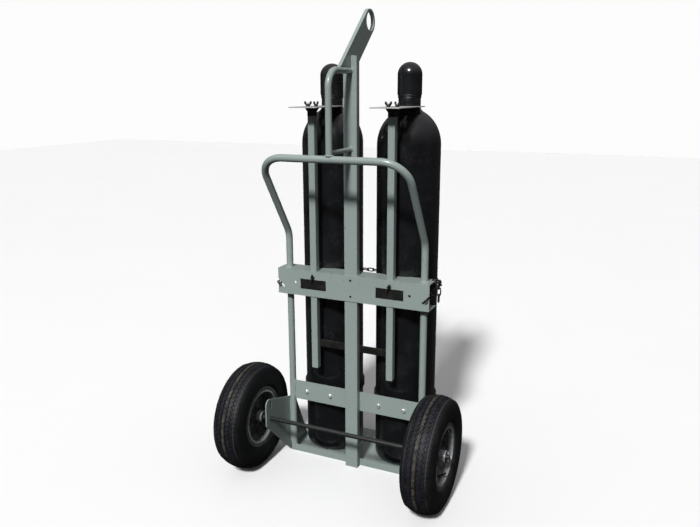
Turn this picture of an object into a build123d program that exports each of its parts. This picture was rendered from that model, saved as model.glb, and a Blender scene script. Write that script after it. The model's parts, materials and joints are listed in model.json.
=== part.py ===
from build123d import *
import os
from math import asin, atan2, cos, hypot, pi, radians, sin, sqrt

# Two-cylinder gas welding cart, millimetres.
# +Z up, +X to the right of a person standing at the handle, +Y forwards, towards the cylinders.
# Origin: the middle of the centre post's foot, on the floor.

os.makedirs("parts", exist_ok=True)

GAP = 0.3            # clearance between pieces that move past each other
SEAT = 0.05          # hairline between welded or pressed pieces with round faces

# ---- gas cylinders
cyl_r = 115.0
cyl_x = cyl_r + 37.4        # half the spacing of the two cylinders, and of the two masts
cyl_y = cyl_r + 47.6        # cylinder axes ahead of the post
cyl_wall = 6.0
cyl_shoulder_z = 1230.0
cyl_dome_h = cyl_r + 15.0
neck_r = 34.0
neck_top_z = cyl_shoulder_z + cyl_dome_h + 12.0
ring_r = 39.7
ring_base_z = neck_top_z - 19.0
ring_top_z = ring_base_z + 59.0
cap_r = 43.5
cap_wall = 3.5
cap_base_z = ring_top_z - 18.0
cap_top_z = cap_base_z + 123.0
valve_bore_r = 13.0
foot_ring_r = cyl_r - 22.0      # the ring the cylinder stands on
foot_corner = 22.0
foot_dish = 14.0
cap_taper = 14.0
cap_dome = 43.0
cap_flare = 1.8
valve_r = 14.0
valve_h = 62.0
outlet_z = neck_top_z + 34.0
outlet_r = 10.0
outlet_end = 27.0
outlet_bore_r = 6.0
outlet_bore_depth = 9.0
spindle_r = 5.0
spindle_end_z = neck_top_z + 78.0
wheel_r = 27.0
wheel_h = 12.0
wheel_z = neck_top_z + 70.0
wheel_edge = 4.0
wheel_notches = 8
notch_r = 7.0
notch_centre_r = 31.5

# ---- tube frame
tube_r = 12.7
tube_wall = 2.1
upright_x = cyl_x + cyl_r + 2.6
upright_y = 22.0
foot_h = 8.0
foot_insert = 14.0
bend_z = 902.0
handle_y = -176.4
handle_z = 1202.0
handle_bend_r = 80.0
handle_corner_r = 90.0

post_w = 50.8
post_d = 25.4
post_wall = 2.6
post_top_z = 1534.0
post_foot_h = 4.0

brace_r = 11.1
brace_wall = 2.0
brace_z = 1486.0
brace_bend_r = 56.0
strut_r = 8.0
strut_z = handle_z + tube_r + strut_r

# ---- lifting eye
eye_t = 12.7
eye_w = 84.0
eye_hole_r = 32.5
eye_lean = 41.2      # degrees above level
eye_y = 149.8
eye_z = 1656.5
eye_slot_z = 1480.0

# ---- cross channel that holds the cylinders at mid height
channel_half = upright_x + 31.0
channel_z0 = 672.0
channel_z1 = 770.0
channel_d = 76.0
sheet_t = 3.2
window_w = 106.0
window_h = 39.0
window_z = 718.5
stud_hole_r = 4.8
post_hole_z = (690.5, 751.0)
outer_hole_x = upright_x - 42.0
outer_hole_z = 721.0
chain_slot_x = upright_x + 7.5
chain_slot_w = 7.5

# ---- low crossbar, toe plate and side plates
bar_t = 6.35
bar_z0 = 231.0
bar_h = 76.2
rest_bar_z = 468.0
rest_bar_h = 27.0
toe_t = 6.35
toe_front_y = cyl_y + cyl_r + 12.4
lip_h = 25.4
toe_corner = 25.0
side_t = 4.8
side_rear_y = -165.0
side_top_z = 292.0
side_low_z = 180.0
side_front_y = cyl_y - 4.6
side_step_y = 36.0     # how far the top edge runs past the upright
side_rear_round = 22.0
hand_slot_len = 33.0
hand_slot_w = 9.0
hand_slot_drop = 32.0
spare_hole_r = 4.2
spare_hole_y = side_rear_y + 76.0
spare_hole_z = 128.0
axle_y = -134.0
axle_z = 203.2
axle_r = 8.0

# ---- wheels
tyre_r = 203.2
tyre_half = 57.0
tyre_wall = 9.0
tyre_crown = 8.5
tread_half = 39.0
groove_places = (-26.0, -9.0, 9.0, 26.0)
groove_w = 4.0
groove_d = 6.0
bead_lip = 2.5
bead_w = 13.0
bead_r = 101.6
rim_flange_r = 117.0
rim_half = 46.0
rim_t = 2.5
rim_dish = 14.0       # how far the disc round the hub stands out
rim_well_rise = 11.0
stem_place_r = 75.6
stem_r = 4.0
stem_h = 26.0
stem_cap_r = 3.2
stem_lean = 38.0
hub_r = 20.5
hub_half = 50.0
bearing_r = 17.5
bearing_w = 11.0
bearing_lip = 1.5
bearing_lip_r = 19.7
hub_bore_r = 12.0
wheel_x = upright_x + 94.7
axle_end_x = wheel_x + 61.3
axle_chamfer = 1.2
spacer_wall = 3.5
washer_r = 15.0
washer_space = 3.0
pin_r = 1.6
pin_inset = 5.0
pin_eye_r = 3.6
pin_reach = (15.0, 11.0)

# ---- masts, heads, neck plates
mast_w = 25.4
mast_wall = 2.1
mast_y = GAP + 0.1
mast_z0 = 387.0
mast_z1 = ring_base_z - 18.5
head_flare_w = 41.0
head_top_z = ring_base_z + 10.2
head_rim = 4.0
head_neck = 15.0
spigot_h = 22.0
plate_t = 3.2
plate_w = 112.8
plate_rear_y = -78.0
plate_arm = 5.0
plate_travel = 60.0
plate_corner = 14.0
notch_clear = 1.6
stud_r = 4.0
stud_x = 15.9
stud_stand = 6.0       # stud length above its nut
nut_r = 7.0
nut_h = 8.0
wing_span = 14.4
wing_h = 18.0
wing_t = 2.8
wing_tip = 6.0
wing_round = 2.2
outer_nut_turn = {-1: 8, 1: -30}
inner_nut_turn = {-1: 80, 1: 55}
lock_turn = {-1: 75, 1: 60}

# ---- lower cylinder bands
band_t = 5.0
band_h = 25.4
band_z = 267.0
band_gap = 1.0
band_bolt_x = 51.0
band_foot = 24.0
bolt_end = 16.0
band_nut_h = 8.0
bolt_r = 4.75
bolt_head_r = 8.6
bolt_head_h = 6.4

# ---- retaining chain
wire_r = 2.3
link_inner_w = 8.0
chain_pitch = 24.0
chain_z = 716.0

SIDES = (("left", -1), ("right", 1))
post_front_y = post_d / 2
post_rear_y = -post_d / 2
channel_face_y = post_rear_y - sheet_t
channel_front_y = channel_face_y + channel_d
plate_z = head_top_z + GAP
nut_z = plate_z + plate_t + GAP


def rod(x, y, z0, z1, r):
    """Upright round bar."""
    return Pos(x, y, (z0 + z1) / 2) * Cylinder(r, z1 - z0)


def rod_y(x, z, y0, y1, r):
    """Round bar along Y."""
    return Pos(x, (y0 + y1) / 2, z) * Rot(90, 0, 0) * Cylinder(r, y1 - y0)


def rod_x(y, z, x0, x1, r):
    """Round bar along X."""
    return Pos((x0 + x1) / 2, y, z) * Rot(0, 90, 0) * Cylinder(r, x1 - x0)


def block(x0, x1, y0, y1, z0, z1):
    """Box from its lowest and highest corners."""
    return Pos((x0 + x1) / 2, (y0 + y1) / 2, (z0 + z1) / 2) * Box(x1 - x0, y1 - y0, z1 - z0)


def square_tube(w, d, wall, z0, z1):
    """Upright rectangular tube with rounded edges, on the Z axis."""
    outer = RectangleRounded(w, d, wall)
    inner = RectangleRounded(w - 2 * wall, d - 2 * wall, wall / 3)
    return Pos(0, 0, z0) * extrude(outer - inner, z1 - z0)


def yz_plate(outline, x0, thickness):
    """Flat plate from an outline drawn in the YZ plane, thickness along +X from x0."""
    return Pos(x0, 0, 0) * extrude(Plane.YZ * outline, thickness)


def tube_along(path, r, wall):
    """Round tube swept along a path of straight runs and arcs."""
    start = path.position_at(0)
    section = Plane(origin=start, z_dir=path.tangent_at(0)) * (Circle(r) - Circle(r - wall))
    return sweep(section, path=path)


def save(name, shape):
    solids = shape.solids()
    if not solids:
        raise ValueError(name + " has no solid")
    out = solids[0] if len(solids) == 1 else Compound(children=list(solids))
    export_step(out, "parts/" + name + ".step")


# ---------------------------------------------------------------- tube frame
def handle_frame():
    pts = [(-upright_x, upright_y, foot_h), (-upright_x, upright_y, bend_z),
           (-upright_x, handle_y, handle_z), (upright_x, handle_y, handle_z),
           (upright_x, upright_y, bend_z), (upright_x, upright_y, foot_h)]
    radii = [handle_bend_r, handle_corner_r, handle_corner_r, handle_bend_r]
    return tube_along(FilletPolyline(*pts, radius=radii), tube_r, tube_wall)


def tube_foot_plugs():
    plug = rod(0, 0, 0, foot_h, tube_r)
    plug = fillet(plug.edges().sort_by(Axis.Z)[0], foot_h * 0.45)
    plug += rod(0, 0, foot_h, foot_h + foot_insert, tube_r - tube_wall - SEAT)
    return Compound(children=[Pos(s * upright_x, upright_y, 0) * plug for _, s in SIDES])


def centre_post():
    post = square_tube(post_w, post_d, post_wall, post_foot_h, post_top_z)
    half_slot = eye_t / 2 + SEAT
    post -= block(-half_slot, half_slot, -post_d, post_d, eye_slot_z - SEAT, post_top_z + 1)
    for z in post_hole_z:
        post -= rod_y(0, z, post_rear_y - 1, 0, stud_hole_r)
    return post


def post_foot_plug():
    plug = block(-post_w / 2, post_w / 2, post_rear_y, post_front_y, 0, post_foot_h)
    plug = fillet(plug.edges().filter_by(Axis.Z), post_wall)
    insert = RectangleRounded(post_w - 2 * (post_wall + SEAT), post_d - 2 * (post_wall + SEAT), post_wall)
    return plug + Pos(0, 0, post_foot_h) * extrude(insert, foot_insert)


def lifting_eye():
    lean = radians(eye_lean)
    along = Vector(cos(lean), sin(lean))
    across = Vector(-sin(lean), cos(lean))
    centre = Vector(eye_y, eye_z)
    half = eye_w / 2
    top_edge = centre + across * half
    low_edge = centre - across * half
    tip = centre + along * half
    seat_z = brace_z + brace_r + SEAT

    def on_edge(edge, z):
        return edge - along * ((edge.Y - z) / sin(lean))

    heel = on_edge(top_edge, seat_z)
    toe = on_edge(low_edge, eye_slot_z)
    rear = post_rear_y - SEAT
    edge = Polyline((top_edge.X, top_edge.Y), (heel.X, heel.Y), (rear, seat_z), (rear, eye_slot_z),
                    (toe.X, toe.Y), (low_edge.X, low_edge.Y))
    end = ThreePointArc((low_edge.X, low_edge.Y), (tip.X, tip.Y), (top_edge.X, top_edge.Y))
    face = make_face([edge, end]) - Pos(eye_y, eye_z) * Circle(eye_hole_r)
    return yz_plate(face, -eye_t / 2, eye_t)


def loop_brace():
    path = FilletPolyline((0, handle_y, handle_z), (0, handle_y, brace_z), (0, post_rear_y - SEAT, brace_z),
                          radius=brace_bend_r)
    brace = tube_along(path, brace_r, brace_wall)
    return brace - rod_x(handle_y, handle_z, -60, 60, tube_r + SEAT)


def handle_strut():
    strut = rod_y(0, strut_z, handle_y, post_rear_y - SEAT, strut_r)
    strut -= rod(0, handle_y, handle_z, brace_z, brace_r + SEAT)
    return strut - rod_x(handle_y, handle_z, -60, 60, tube_r + SEAT)


# ---------------------------------------------------------------- cross channel
def cross_channel():
    body = block(-channel_half, channel_half, channel_face_y, channel_front_y, channel_z0, channel_z1)
    body -= block(-channel_half - 1, channel_half + 1, post_rear_y, channel_front_y + 1,
                  channel_z0 + sheet_t, channel_z1 - sheet_t)
    post = block(-post_w / 2 - SEAT, post_w / 2 + SEAT, post_rear_y, post_front_y + SEAT,
                 channel_z0 - 1, channel_z1 + 1)
    body -= post
    mast_hole = mast_w / 2 + GAP + 0.1
    for _, s in SIDES:
        x = s * cyl_x
        body -= rod(x, cyl_y, channel_z0 - 1, channel_z1 + 1, cyl_r + 1.0)
        body -= rod(s * upright_x, upright_y, channel_z0 - 1, channel_z1 + 1, tube_r + SEAT)
        body -= block(x - mast_hole, x + mast_hole, post_rear_y, mast_y + mast_hole,
                      channel_z0 - 1, channel_z1 + 1)
        body -= block(x - window_w / 2, x + window_w / 2, channel_face_y - 1, post_rear_y + 1,
                      window_z - window_h / 2, window_z + window_h / 2)
        body -= rod_y(x, lock_z(), channel_face_y - 1, post_rear_y + 1, stud_r + GAP)
        body -= rod_y(s * outer_hole_x, outer_hole_z, channel_face_y - 1, post_rear_y + 1, stud_hole_r)
        body -= chain_slot(s)
    body -= rod(tail_x(), tail_y(), channel_z1 - sheet_t - 1, channel_z1 + 1, wire_r + 1.6)
    for z in post_hole_z:
        body -= rod_y(0, z, channel_face_y - 1, post_rear_y + 1, stud_hole_r)
    return body


def lock_z():
    """Height of the mast lock screws, just above the guide plates."""
    return window_z + window_h / 2 + 9.0


def chain_end_x():
    """How far out the chain runs beside each upright, and so where it meets the slots."""
    return upright_x + tube_r + link_inner_w / 2 + 2 * wire_r + 1.5


def chain_slot(side):
    """Slot at 45 degrees, open to the channel's end, that catches a chain link."""
    slot_z = chain_z - (chain_end_x() - chain_slot_x)
    run = (channel_half + 2 - chain_slot_x) * sqrt(2)
    cut = Pos(run / 2, 0, 0) * Box(run, sheet_t + 2, chain_slot_w)
    cut += Rot(90, 0, 0) * Cylinder(chain_slot_w / 2, sheet_t + 2)
    if side < 0:
        cut = Rot(0, -135, 0) * cut
    else:
        cut = Rot(0, -45, 0) * cut
    return Pos(side * chain_slot_x, channel_face_y + sheet_t / 2, slot_z) * cut


def mast_guide_plate(side):
    x = side * cyl_x
    hw, hh = window_w / 2 - SEAT, window_h / 2 - SEAT
    return block(x - hw, x + hw, channel_face_y + 0.6, post_rear_y - SEAT, window_z - hh, window_z + hh)


# ---------------------------------------------------------------- base
def lower_crossbar():
    bar = block(-upright_x, upright_x, post_front_y, post_front_y + bar_t, bar_z0, bar_z0 + bar_h)
    for _, s in SIDES:
        bar -= rod(s * upright_x, upright_y, bar_z0 - 1, bar_z0 + bar_h + 1, tube_r + SEAT)
        for dx in (-band_bolt_x, band_bolt_x):
            bar -= rod_y(s * cyl_x + dx, band_z, post_front_y - 1, post_front_y + bar_t + 1, bolt_r + SEAT)
    return max(bar.solids(), key=lambda solid: solid.volume)


def rest_bar():
    half = cyl_x - mast_w / 2 - 1.5
    return block(-half, half, post_front_y, post_front_y + bar_t, rest_bar_z, rest_bar_z + rest_bar_h)


def toe_plate():
    half = upright_x + tube_r - SEAT
    plate = block(-half, half, post_front_y, toe_front_y, 0, toe_t)
    plate += block(-half, half, post_front_y, post_front_y + bar_t, 0, lip_h)
    corner = plate.edges().filter_by(Axis.Z).group_by(Axis.Y)[-1]
    plate = fillet(corner, toe_corner)
    for _, s in SIDES:
        plate -= rod(s * upright_x, upright_y, -1, lip_h + 1, tube_r + SEAT)
    return max(plate.solids(), key=lambda solid: solid.volume)


def side_plate(side):
    slope = (side_top_z - bar_z0) / (upright_y - side_rear_y)
    top_front_y = upright_y + side_step_y
    top_front_z = side_top_z - slope * (top_front_y - side_rear_y)
    outline = Polyline((side_rear_y, side_low_z), (side_rear_y, side_top_z), (top_front_y, top_front_z),
                       (side_front_y, 0), (side_rear_y + side_low_z, 0), (side_rear_y, side_low_z))
    face = make_face(outline)
    rear_top = face.vertices().sort_by(Axis.Y)[-1]
    face = fillet(rear_top, side_rear_round)
    face -= Pos(axle_y, axle_z) * Circle(axle_r + SEAT)
    hand_slot = Rot(0, 0, 90) * SlotOverall(hand_slot_len, hand_slot_w)
    face -= Pos(axle_y + 2, side_top_z - hand_slot_drop) * hand_slot
    face -= Pos(spare_hole_y, spare_hole_z) * Circle(spare_hole_r)
    x0 = side * (upright_x + tube_r) if side > 0 else -(upright_x + tube_r) - side_t
    return yz_plate(face, x0, side_t)


# ---------------------------------------------------------------- axle and wheels
def axle():
    bar = rod_x(axle_y, axle_z, -axle_end_x, axle_end_x, axle_r)
    bar = chamfer(bar.edges(), axle_chamfer)
    for _, s in SIDES:
        bar -= rod(s * pin_x(), axle_y, axle_z - 2 * axle_r, axle_z + 2 * axle_r, pin_r + GAP)
    return bar


def pin_x():
    """Where the cotter pins cross the axle."""
    return axle_end_x - pin_inset


def axle_spacers():
    inner = upright_x + tube_r + side_t
    outer = wheel_x - hub_half - washer_space
    tube = rod_x(axle_y, axle_z, inner, outer, axle_r + spacer_wall)
    tube -= rod_x(axle_y, axle_z, inner, outer, axle_r + SEAT)
    return Compound(children=[tube, mirror(tube, Plane.YZ)])


def washer(x0, x1):
    return rod_x(axle_y, axle_z, x0, x1, washer_r) - rod_x(axle_y, axle_z, x0 - 1, x1 + 1, axle_r + SEAT)


def axle_washers():
    inner = washer(wheel_x - hub_half - washer_space, wheel_x - hub_half - bearing_lip - GAP)
    outer = washer(wheel_x + hub_half + bearing_lip + GAP, wheel_x + hub_half + washer_space + 0.5)
    pair = [inner, outer]
    return Compound(children=pair + [mirror(w, Plane.YZ) for w in pair])


def cotter_pins():
    below, above = pin_reach
    leg = rod(pin_x(), axle_y, axle_z - below, axle_z + above, pin_r)
    eye = Pos(pin_x(), axle_y, axle_z + above + pin_eye_r) * Rot(0, 90, 0) * Torus(pin_eye_r, pin_r)
    pin = leg + eye
    return Compound(children=[pin, mirror(pin, Plane.YZ)])


def wheel_place(side):
    """Wheel pieces are drawn with their axis on Z, and this lays the axis along X."""
    return Pos(side * wheel_x, axle_y, axle_z) * Rot(0, 90 * side, 0)


def thick_line(points, t):
    """Closed outline of a sheet of thickness t drawn to the left of a bent line."""
    vecs = [Vector(*p) for p in points]
    normals = []
    for a, b in zip(vecs, vecs[1:]):
        d = (b - a).normalized()
        normals.append(Vector(-d.Y, d.X))
    left = []
    for i, p in enumerate(vecs):
        n0 = normals[max(i - 1, 0)]
        n1 = normals[min(i, len(normals) - 1)]
        m = (n0 + n1).normalized()
        left.append(p + m * (t / m.dot(n1)))
    ring = vecs + left[::-1]
    return make_face(Polyline(*[(v.X, v.Y) for v in ring], close=True))


def spun(face):
    """Turn an outline drawn as (radius, height) about the Z axis."""
    return revolve(Plane.XZ * face, Axis.Z)


def tyre():
    """Hollow pneumatic tyre: a crowned tread, bulging walls and beads that sit on the rim."""
    shoulder_r = tyre_r - tyre_crown
    side_r = (tyre_r + bead_r) / 2 + 4
    bead_out = bead_r + SEAT
    lip = rim_flange_r + 1.5
    half_in = rim_half - rim_t - SEAT
    inner_r = shoulder_r - tyre_wall
    inner_half = tread_half - tyre_wall
    bead_end = half_in - bead_w
    outer = [
        ThreePointArc((shoulder_r, -tread_half), (tyre_r, 0), (shoulder_r, tread_half)),
        ThreePointArc((shoulder_r, tread_half), (side_r, tyre_half), (lip, half_in + bead_lip)),
        Line((lip, half_in + bead_lip), (lip - 1.5, half_in)),
        Line((lip - 1.5, half_in), (bead_out, half_in)),
        Line((bead_out, half_in), (bead_out, bead_end)),
        ThreePointArc((bead_out, bead_end), (side_r, tyre_half - tyre_wall), (inner_r, inner_half)),
        ThreePointArc((inner_r, inner_half), (tyre_r - tyre_wall - 2, 0), (inner_r, -inner_half)),
        ThreePointArc((inner_r, -inner_half), (side_r, tyre_wall - tyre_half), (bead_out, -bead_end)),
        Line((bead_out, -bead_end), (bead_out, -half_in)),
        Line((bead_out, -half_in), (lip - 1.5, -half_in)),
        Line((lip - 1.5, -half_in), (lip, -half_in - bead_lip)),
        ThreePointArc((lip, -half_in - bead_lip), (side_r, -tyre_half), (shoulder_r, -tread_half)),
    ]
    body = spun(make_face(outer))
    groove = Cylinder(tyre_r + 1, groove_w) - Cylinder(tyre_r - groove_d, groove_w)
    for h in groove_places:
        body -= Pos(0, 0, h) * groove
    return body


def rim_half_shell():
    """Pressed steel half: hub disc, well, bead seat and flange, on the +Z side."""
    low = rim_t + SEAT
    seat_r = bead_r - rim_t
    edge = rim_half - rim_t
    line = [(hub_r + SEAT, rim_dish), (hub_r + 12, rim_dish), (hub_r + 34, low + 3), (bead_r - 22, low),
            (bead_r - 15, low), (bead_r - 9, rim_well_rise), (seat_r, rim_half / 2), (seat_r, edge),
            (rim_flange_r, edge)]
    shell = thick_line(line, rim_t)
    return spun(shell)


def hub():
    body = Cylinder(hub_r, 2 * hub_half) - Cylinder(hub_bore_r, 2 * hub_half + 2)
    seat = Cylinder(bearing_r + SEAT, bearing_w)
    for s in (-1, 1):
        body -= Pos(0, 0, s * (hub_half - bearing_w / 2)) * seat
    return body


def hub_bearings():
    ring = Cylinder(bearing_r, bearing_w)
    ring += Pos(0, 0, (bearing_w + bearing_lip) / 2) * Cylinder(bearing_lip_r, bearing_lip)
    ring -= Cylinder(axle_r + SEAT, 2 * bearing_w)
    top = Pos(0, 0, hub_half - bearing_w / 2) * ring
    return Compound(children=[top, mirror(top, Plane.XY)])


def valve_stem():
    """Air valve that comes out of the rim's well and leans outwards."""
    stem = Cylinder(stem_r, stem_h) + Pos(0, 0, 16) * Cylinder(stem_cap_r, 10)
    return Pos(stem_place_r, 0, 33.5) * Rot(0, -stem_lean, 0) * stem


# ---------------------------------------------------------------- masts and neck plates
def mast(side):
    return Pos(side * cyl_x, mast_y, 0) * square_tube(mast_w, mast_w, mast_wall, mast_z0, mast_z1)


def mast_head(side):
    half = mast_w / 2
    flare = head_flare_w / 2
    low, mid, high = mast_z1, mast_z1 + head_neck, head_top_z - head_rim
    outline = Polyline((-half, low), (-half, mid), (-flare, high), (-flare, head_top_z),
                       (flare, head_top_z), (flare, high), (half, mid), (half, low), close=True)
    body = extrude(Plane.XZ * make_face(outline), half, both=True)
    spigot = mast_w - 2 * mast_wall - 2 * SEAT
    body += Pos(0, 0, mast_z1 - spigot_h) * extrude(RectangleRounded(spigot, spigot, mast_wall), spigot_h)
    for dx in (-stud_x, stud_x):
        body -= rod(dx, 0, high, head_top_z + 1, stud_r + SEAT)
    return Pos(side * cyl_x, mast_y, 0) * body


def plate_studs(side):
    foot_z = head_top_z - head_rim + SEAT
    top_z = nut_z + nut_h + stud_stand
    places = [side * cyl_x + dx for dx in (-stud_x, stud_x)]
    return Compound(children=[rod(x, mast_y, foot_z, top_z, stud_r) for x in places])


def neck_plate(side):
    """Fork that closes on the cylinder's neck ring and slides back on two studs."""
    front_y = cyl_y + plate_arm
    length = front_y - plate_rear_y
    notch = ring_r + notch_clear
    face = Pos(0, plate_rear_y + length / 2) * Rectangle(plate_w, length)
    face = fillet(face.vertices().group_by(Axis.Y)[0], plate_corner)
    face -= Pos(0, cyl_y) * Circle(notch)
    face -= Pos(0, cyl_y + plate_arm) * Rectangle(2 * notch, 2 * plate_arm)
    slot_r = stud_r + GAP + 0.1
    for dx in (-stud_x, stud_x):
        slot = SlotOverall(plate_travel + 2 * slot_r + 1, 2 * slot_r)
        face -= Pos(dx, mast_y + plate_travel / 2) * Rot(0, 0, 90) * slot
    return Pos(side * cyl_x, 0, plate_z) * extrude(face, plate_t)


def wing_body(turn):
    """Wing nut on the Z axis, base at Z 0, wings leaning up and out."""
    body = Cone(nut_r, nut_r * 0.8, nut_h, align=(Align.CENTER, Align.CENTER, Align.MIN))
    wing = make_face(Polyline((2, 1), (nut_r - 1, 1), (wing_span, wing_h * 0.62), (wing_span - 1.5, wing_h),
                              (wing_span - wing_tip, wing_h), (nut_r - 2, nut_h), (2, nut_h), close=True))
    wing = extrude(Plane.XZ * wing, wing_t / 2, both=True)
    wing = fillet(wing.edges().filter_by(Axis.Y).group_by(Axis.Z)[-1], wing_round)
    return Rot(0, 0, turn) * (body + wing + mirror(wing, Plane.YZ))


def wing_nut(side, place, turn):
    nut = wing_body(turn) - Cylinder(stud_r + SEAT, 4 * wing_h)
    return Pos(side * cyl_x + place * stud_x, mast_y, nut_z) * nut


def lock_screw(side, turn):
    """Wing screw through the channel's face that presses on the mast."""
    shank_back = mast_y - mast_w / 2 - GAP
    head_y = channel_face_y - GAP - 1.0
    shank = shank_back - head_y
    screw = wing_body(turn) + Pos(0, 0, 1 - shank / 2) * Cylinder(stud_r, shank + 2)
    return Pos(side * cyl_x, head_y, lock_z()) * Rot(90, 0, 0) * screw


# ---------------------------------------------------------------- lower bands
def lower_band(side):
    """Strap round the foot of a cylinder, with two feet bolted to the crossbar."""
    inner = cyl_r + band_gap
    outer = inner + band_t
    arm_x = band_bolt_x + band_foot / 2
    wall_y = post_front_y + bar_t - cyl_y + SEAT
    ring = Circle(outer) - Circle(inner)
    ring -= Pos(0, -outer) * Rectangle(2 * arm_x, 2 * outer - 60)
    arm_top = -sqrt(inner * inner - (arm_x + band_t) ** 2) + 2
    face = ring
    for s in (-1, 1):
        arm = Pos(s * (arm_x + band_t / 2), (wall_y + arm_top) / 2) * Rectangle(band_t, arm_top - wall_y)
        foot = Pos(s * band_bolt_x, wall_y + band_t / 2) * Rectangle(band_foot + band_t, band_t)
        face = face + arm + foot
    face -= Circle(inner)
    body = Pos(0, 0, band_z - band_h / 2) * extrude(face, band_h)
    for s in (-1, 1):
        body -= rod_y(s * band_bolt_x, band_z, wall_y - 1, wall_y + band_t + 1, bolt_r + SEAT)
    return Pos(side * cyl_x, cyl_y, 0) * body


def band_places():
    return [(s * cyl_x + dx) for _, s in SIDES for dx in (-band_bolt_x, band_bolt_x)]


def band_bolts():
    depth = bar_t + band_t + bolt_end
    head = Rot(90, 0, 0) * extrude(RegularPolygon(bolt_head_r, 6), bolt_head_h)
    shank = Rot(-90, 0, 0) * (Pos(0, 0, depth / 2) * Cylinder(bolt_r, depth))
    bolt = head + shank
    return Compound(children=[Pos(x, post_front_y, band_z) * bolt for x in band_places()])


def band_nuts():
    nut = extrude(RegularPolygon(bolt_head_r, 6) - Circle(bolt_r + SEAT), band_nut_h)
    y = post_front_y + bar_t + band_t + 2 * SEAT
    return Compound(children=[Pos(x, y, band_z) * Rot(-90, 0, 0) * nut for x in band_places()])


# ---------------------------------------------------------------- gas cylinders
def gas_cylinder(side):
    base = toe_t + SEAT
    in_r = cyl_r - cyl_wall
    dish_r = foot_ring_r - 30
    dish_z = base + foot_dish - 2
    dish_mid = (foot_ring_r - 12, base + foot_dish / 2)
    corner_mid = foot_corner * (1 - sqrt(0.5))
    outer = make_face([
        Line((0, base + foot_dish), (dish_r, dish_z)),
        ThreePointArc((dish_r, dish_z), dish_mid, (foot_ring_r, base)),
        ThreePointArc((foot_ring_r, base), (cyl_r - corner_mid, base + corner_mid),
                      (cyl_r, base + foot_corner)),
        Line((cyl_r, base + foot_corner), (cyl_r, cyl_shoulder_z)),
        Line((cyl_r, cyl_shoulder_z), (0, cyl_shoulder_z)),
        Line((0, cyl_shoulder_z), (0, base + foot_dish)),
    ])
    body = spun(outer)
    body += ellipsoid_cap(cyl_r, cyl_dome_h, cyl_shoulder_z)
    body += rod(0, 0, cyl_shoulder_z, neck_top_z, neck_r)
    hollow = rod(0, 0, base + foot_dish + 2 * cyl_wall, cyl_shoulder_z, in_r)
    hollow += ellipsoid_cap(in_r, cyl_dome_h - 2 * cyl_wall, cyl_shoulder_z)
    body -= hollow
    body -= rod(0, 0, cyl_shoulder_z + cyl_dome_h / 2, neck_top_z + 1, valve_bore_r)
    return Pos(side * cyl_x, cyl_y, 0) * body


def ellipsoid_cap(r, h, z):
    """Upper half of a squashed sphere, radius r, height h, standing at height z."""
    edge = EllipticalCenterArc((0, 0), r, h, start_angle=0, arc_size=90)
    face = make_face([edge, Line((0, h), (0, 0)), Line((0, 0), (r, 0))])
    return Pos(0, 0, z) * spun(face)


def neck_ring(side):
    ring = rod(0, 0, ring_base_z, ring_top_z, ring_r)
    ring -= rod(0, 0, ring_base_z - 1, neck_top_z + SEAT, neck_r + SEAT)
    ring -= rod(0, 0, neck_top_z - 1, ring_top_z + 1, neck_r - 4)
    ring -= ellipsoid_cap(cyl_r + SEAT, cyl_dome_h + SEAT, cyl_shoulder_z)
    return Pos(side * cyl_x, cyl_y, 0) * ring


def valve_body(side):
    body = rod(0, 0, neck_top_z - 2 * valve_bore_r, neck_top_z, valve_bore_r - SEAT)
    body += rod(0, 0, neck_top_z, neck_top_z + valve_h, valve_r)
    body += rod_y(0, outlet_z, 0, outlet_end, outlet_r)
    body -= rod_y(0, outlet_z, outlet_end - outlet_bore_depth, outlet_end + 1, outlet_bore_r)
    body += rod(0, 0, neck_top_z + valve_h, spindle_end_z, spindle_r)
    return Pos(side * cyl_x, cyl_y, 0) * body


def valve_handwheel(side):
    top = wheel_z + wheel_h
    wheel = fillet(rod(0, 0, wheel_z, top, wheel_r).edges(), wheel_edge)
    for k in range(wheel_notches):
        a = 2 * pi * k / wheel_notches
        wheel -= rod(notch_centre_r * cos(a), notch_centre_r * sin(a), wheel_z - 1, top + 1, notch_r)
    wheel -= rod(0, 0, wheel_z - 1, top + 1, spindle_r + SEAT)
    return Pos(side * cyl_x, cyl_y, 0) * wheel


def cylinder_cap(side):
    straight = cap_top_z - cap_dome
    in_r = cap_r - cap_wall
    low_r = ring_r + cap_flare
    outer = make_face([
        Line((0, cap_base_z), (low_r, cap_base_z)),
        Line((low_r, cap_base_z), (cap_r, cap_base_z + cap_taper)),
        Line((cap_r, cap_base_z + cap_taper), (cap_r, straight)),
        Line((cap_r, straight), (0, straight)),
        Line((0, straight), (0, cap_base_z)),
    ])
    body = spun(outer) + ellipsoid_cap(cap_r, cap_dome, straight)
    cavity = rod(0, 0, cap_base_z - 1, straight, max(in_r, ring_r + GAP))
    cavity += ellipsoid_cap(in_r, cap_dome - cap_wall, straight)
    return Pos(side * cyl_x, cyl_y, 0) * (body - cavity)


# ---------------------------------------------------------------- retaining chain
def chain_link(pitch):
    """One oval link along X, lying in the XY plane."""
    bend = link_inner_w / 2 + wire_r
    run = pitch - 2 * (bend - wire_r) + 0.5
    half_ring = revolve(Pos(bend, 0, 0) * Plane.XZ * Circle(wire_r), Axis.Z, 180)
    end = Pos(run / 2, 0, 0) * Rot(0, 0, -90) * half_ring
    other = Pos(-run / 2, 0, 0) * Rot(0, 0, 90) * half_ring
    link = end + other
    for y in (-bend, bend):
        link += Pos(0, y, 0) * Rot(0, 90, 0) * Cylinder(wire_r, run)
    return link


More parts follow.
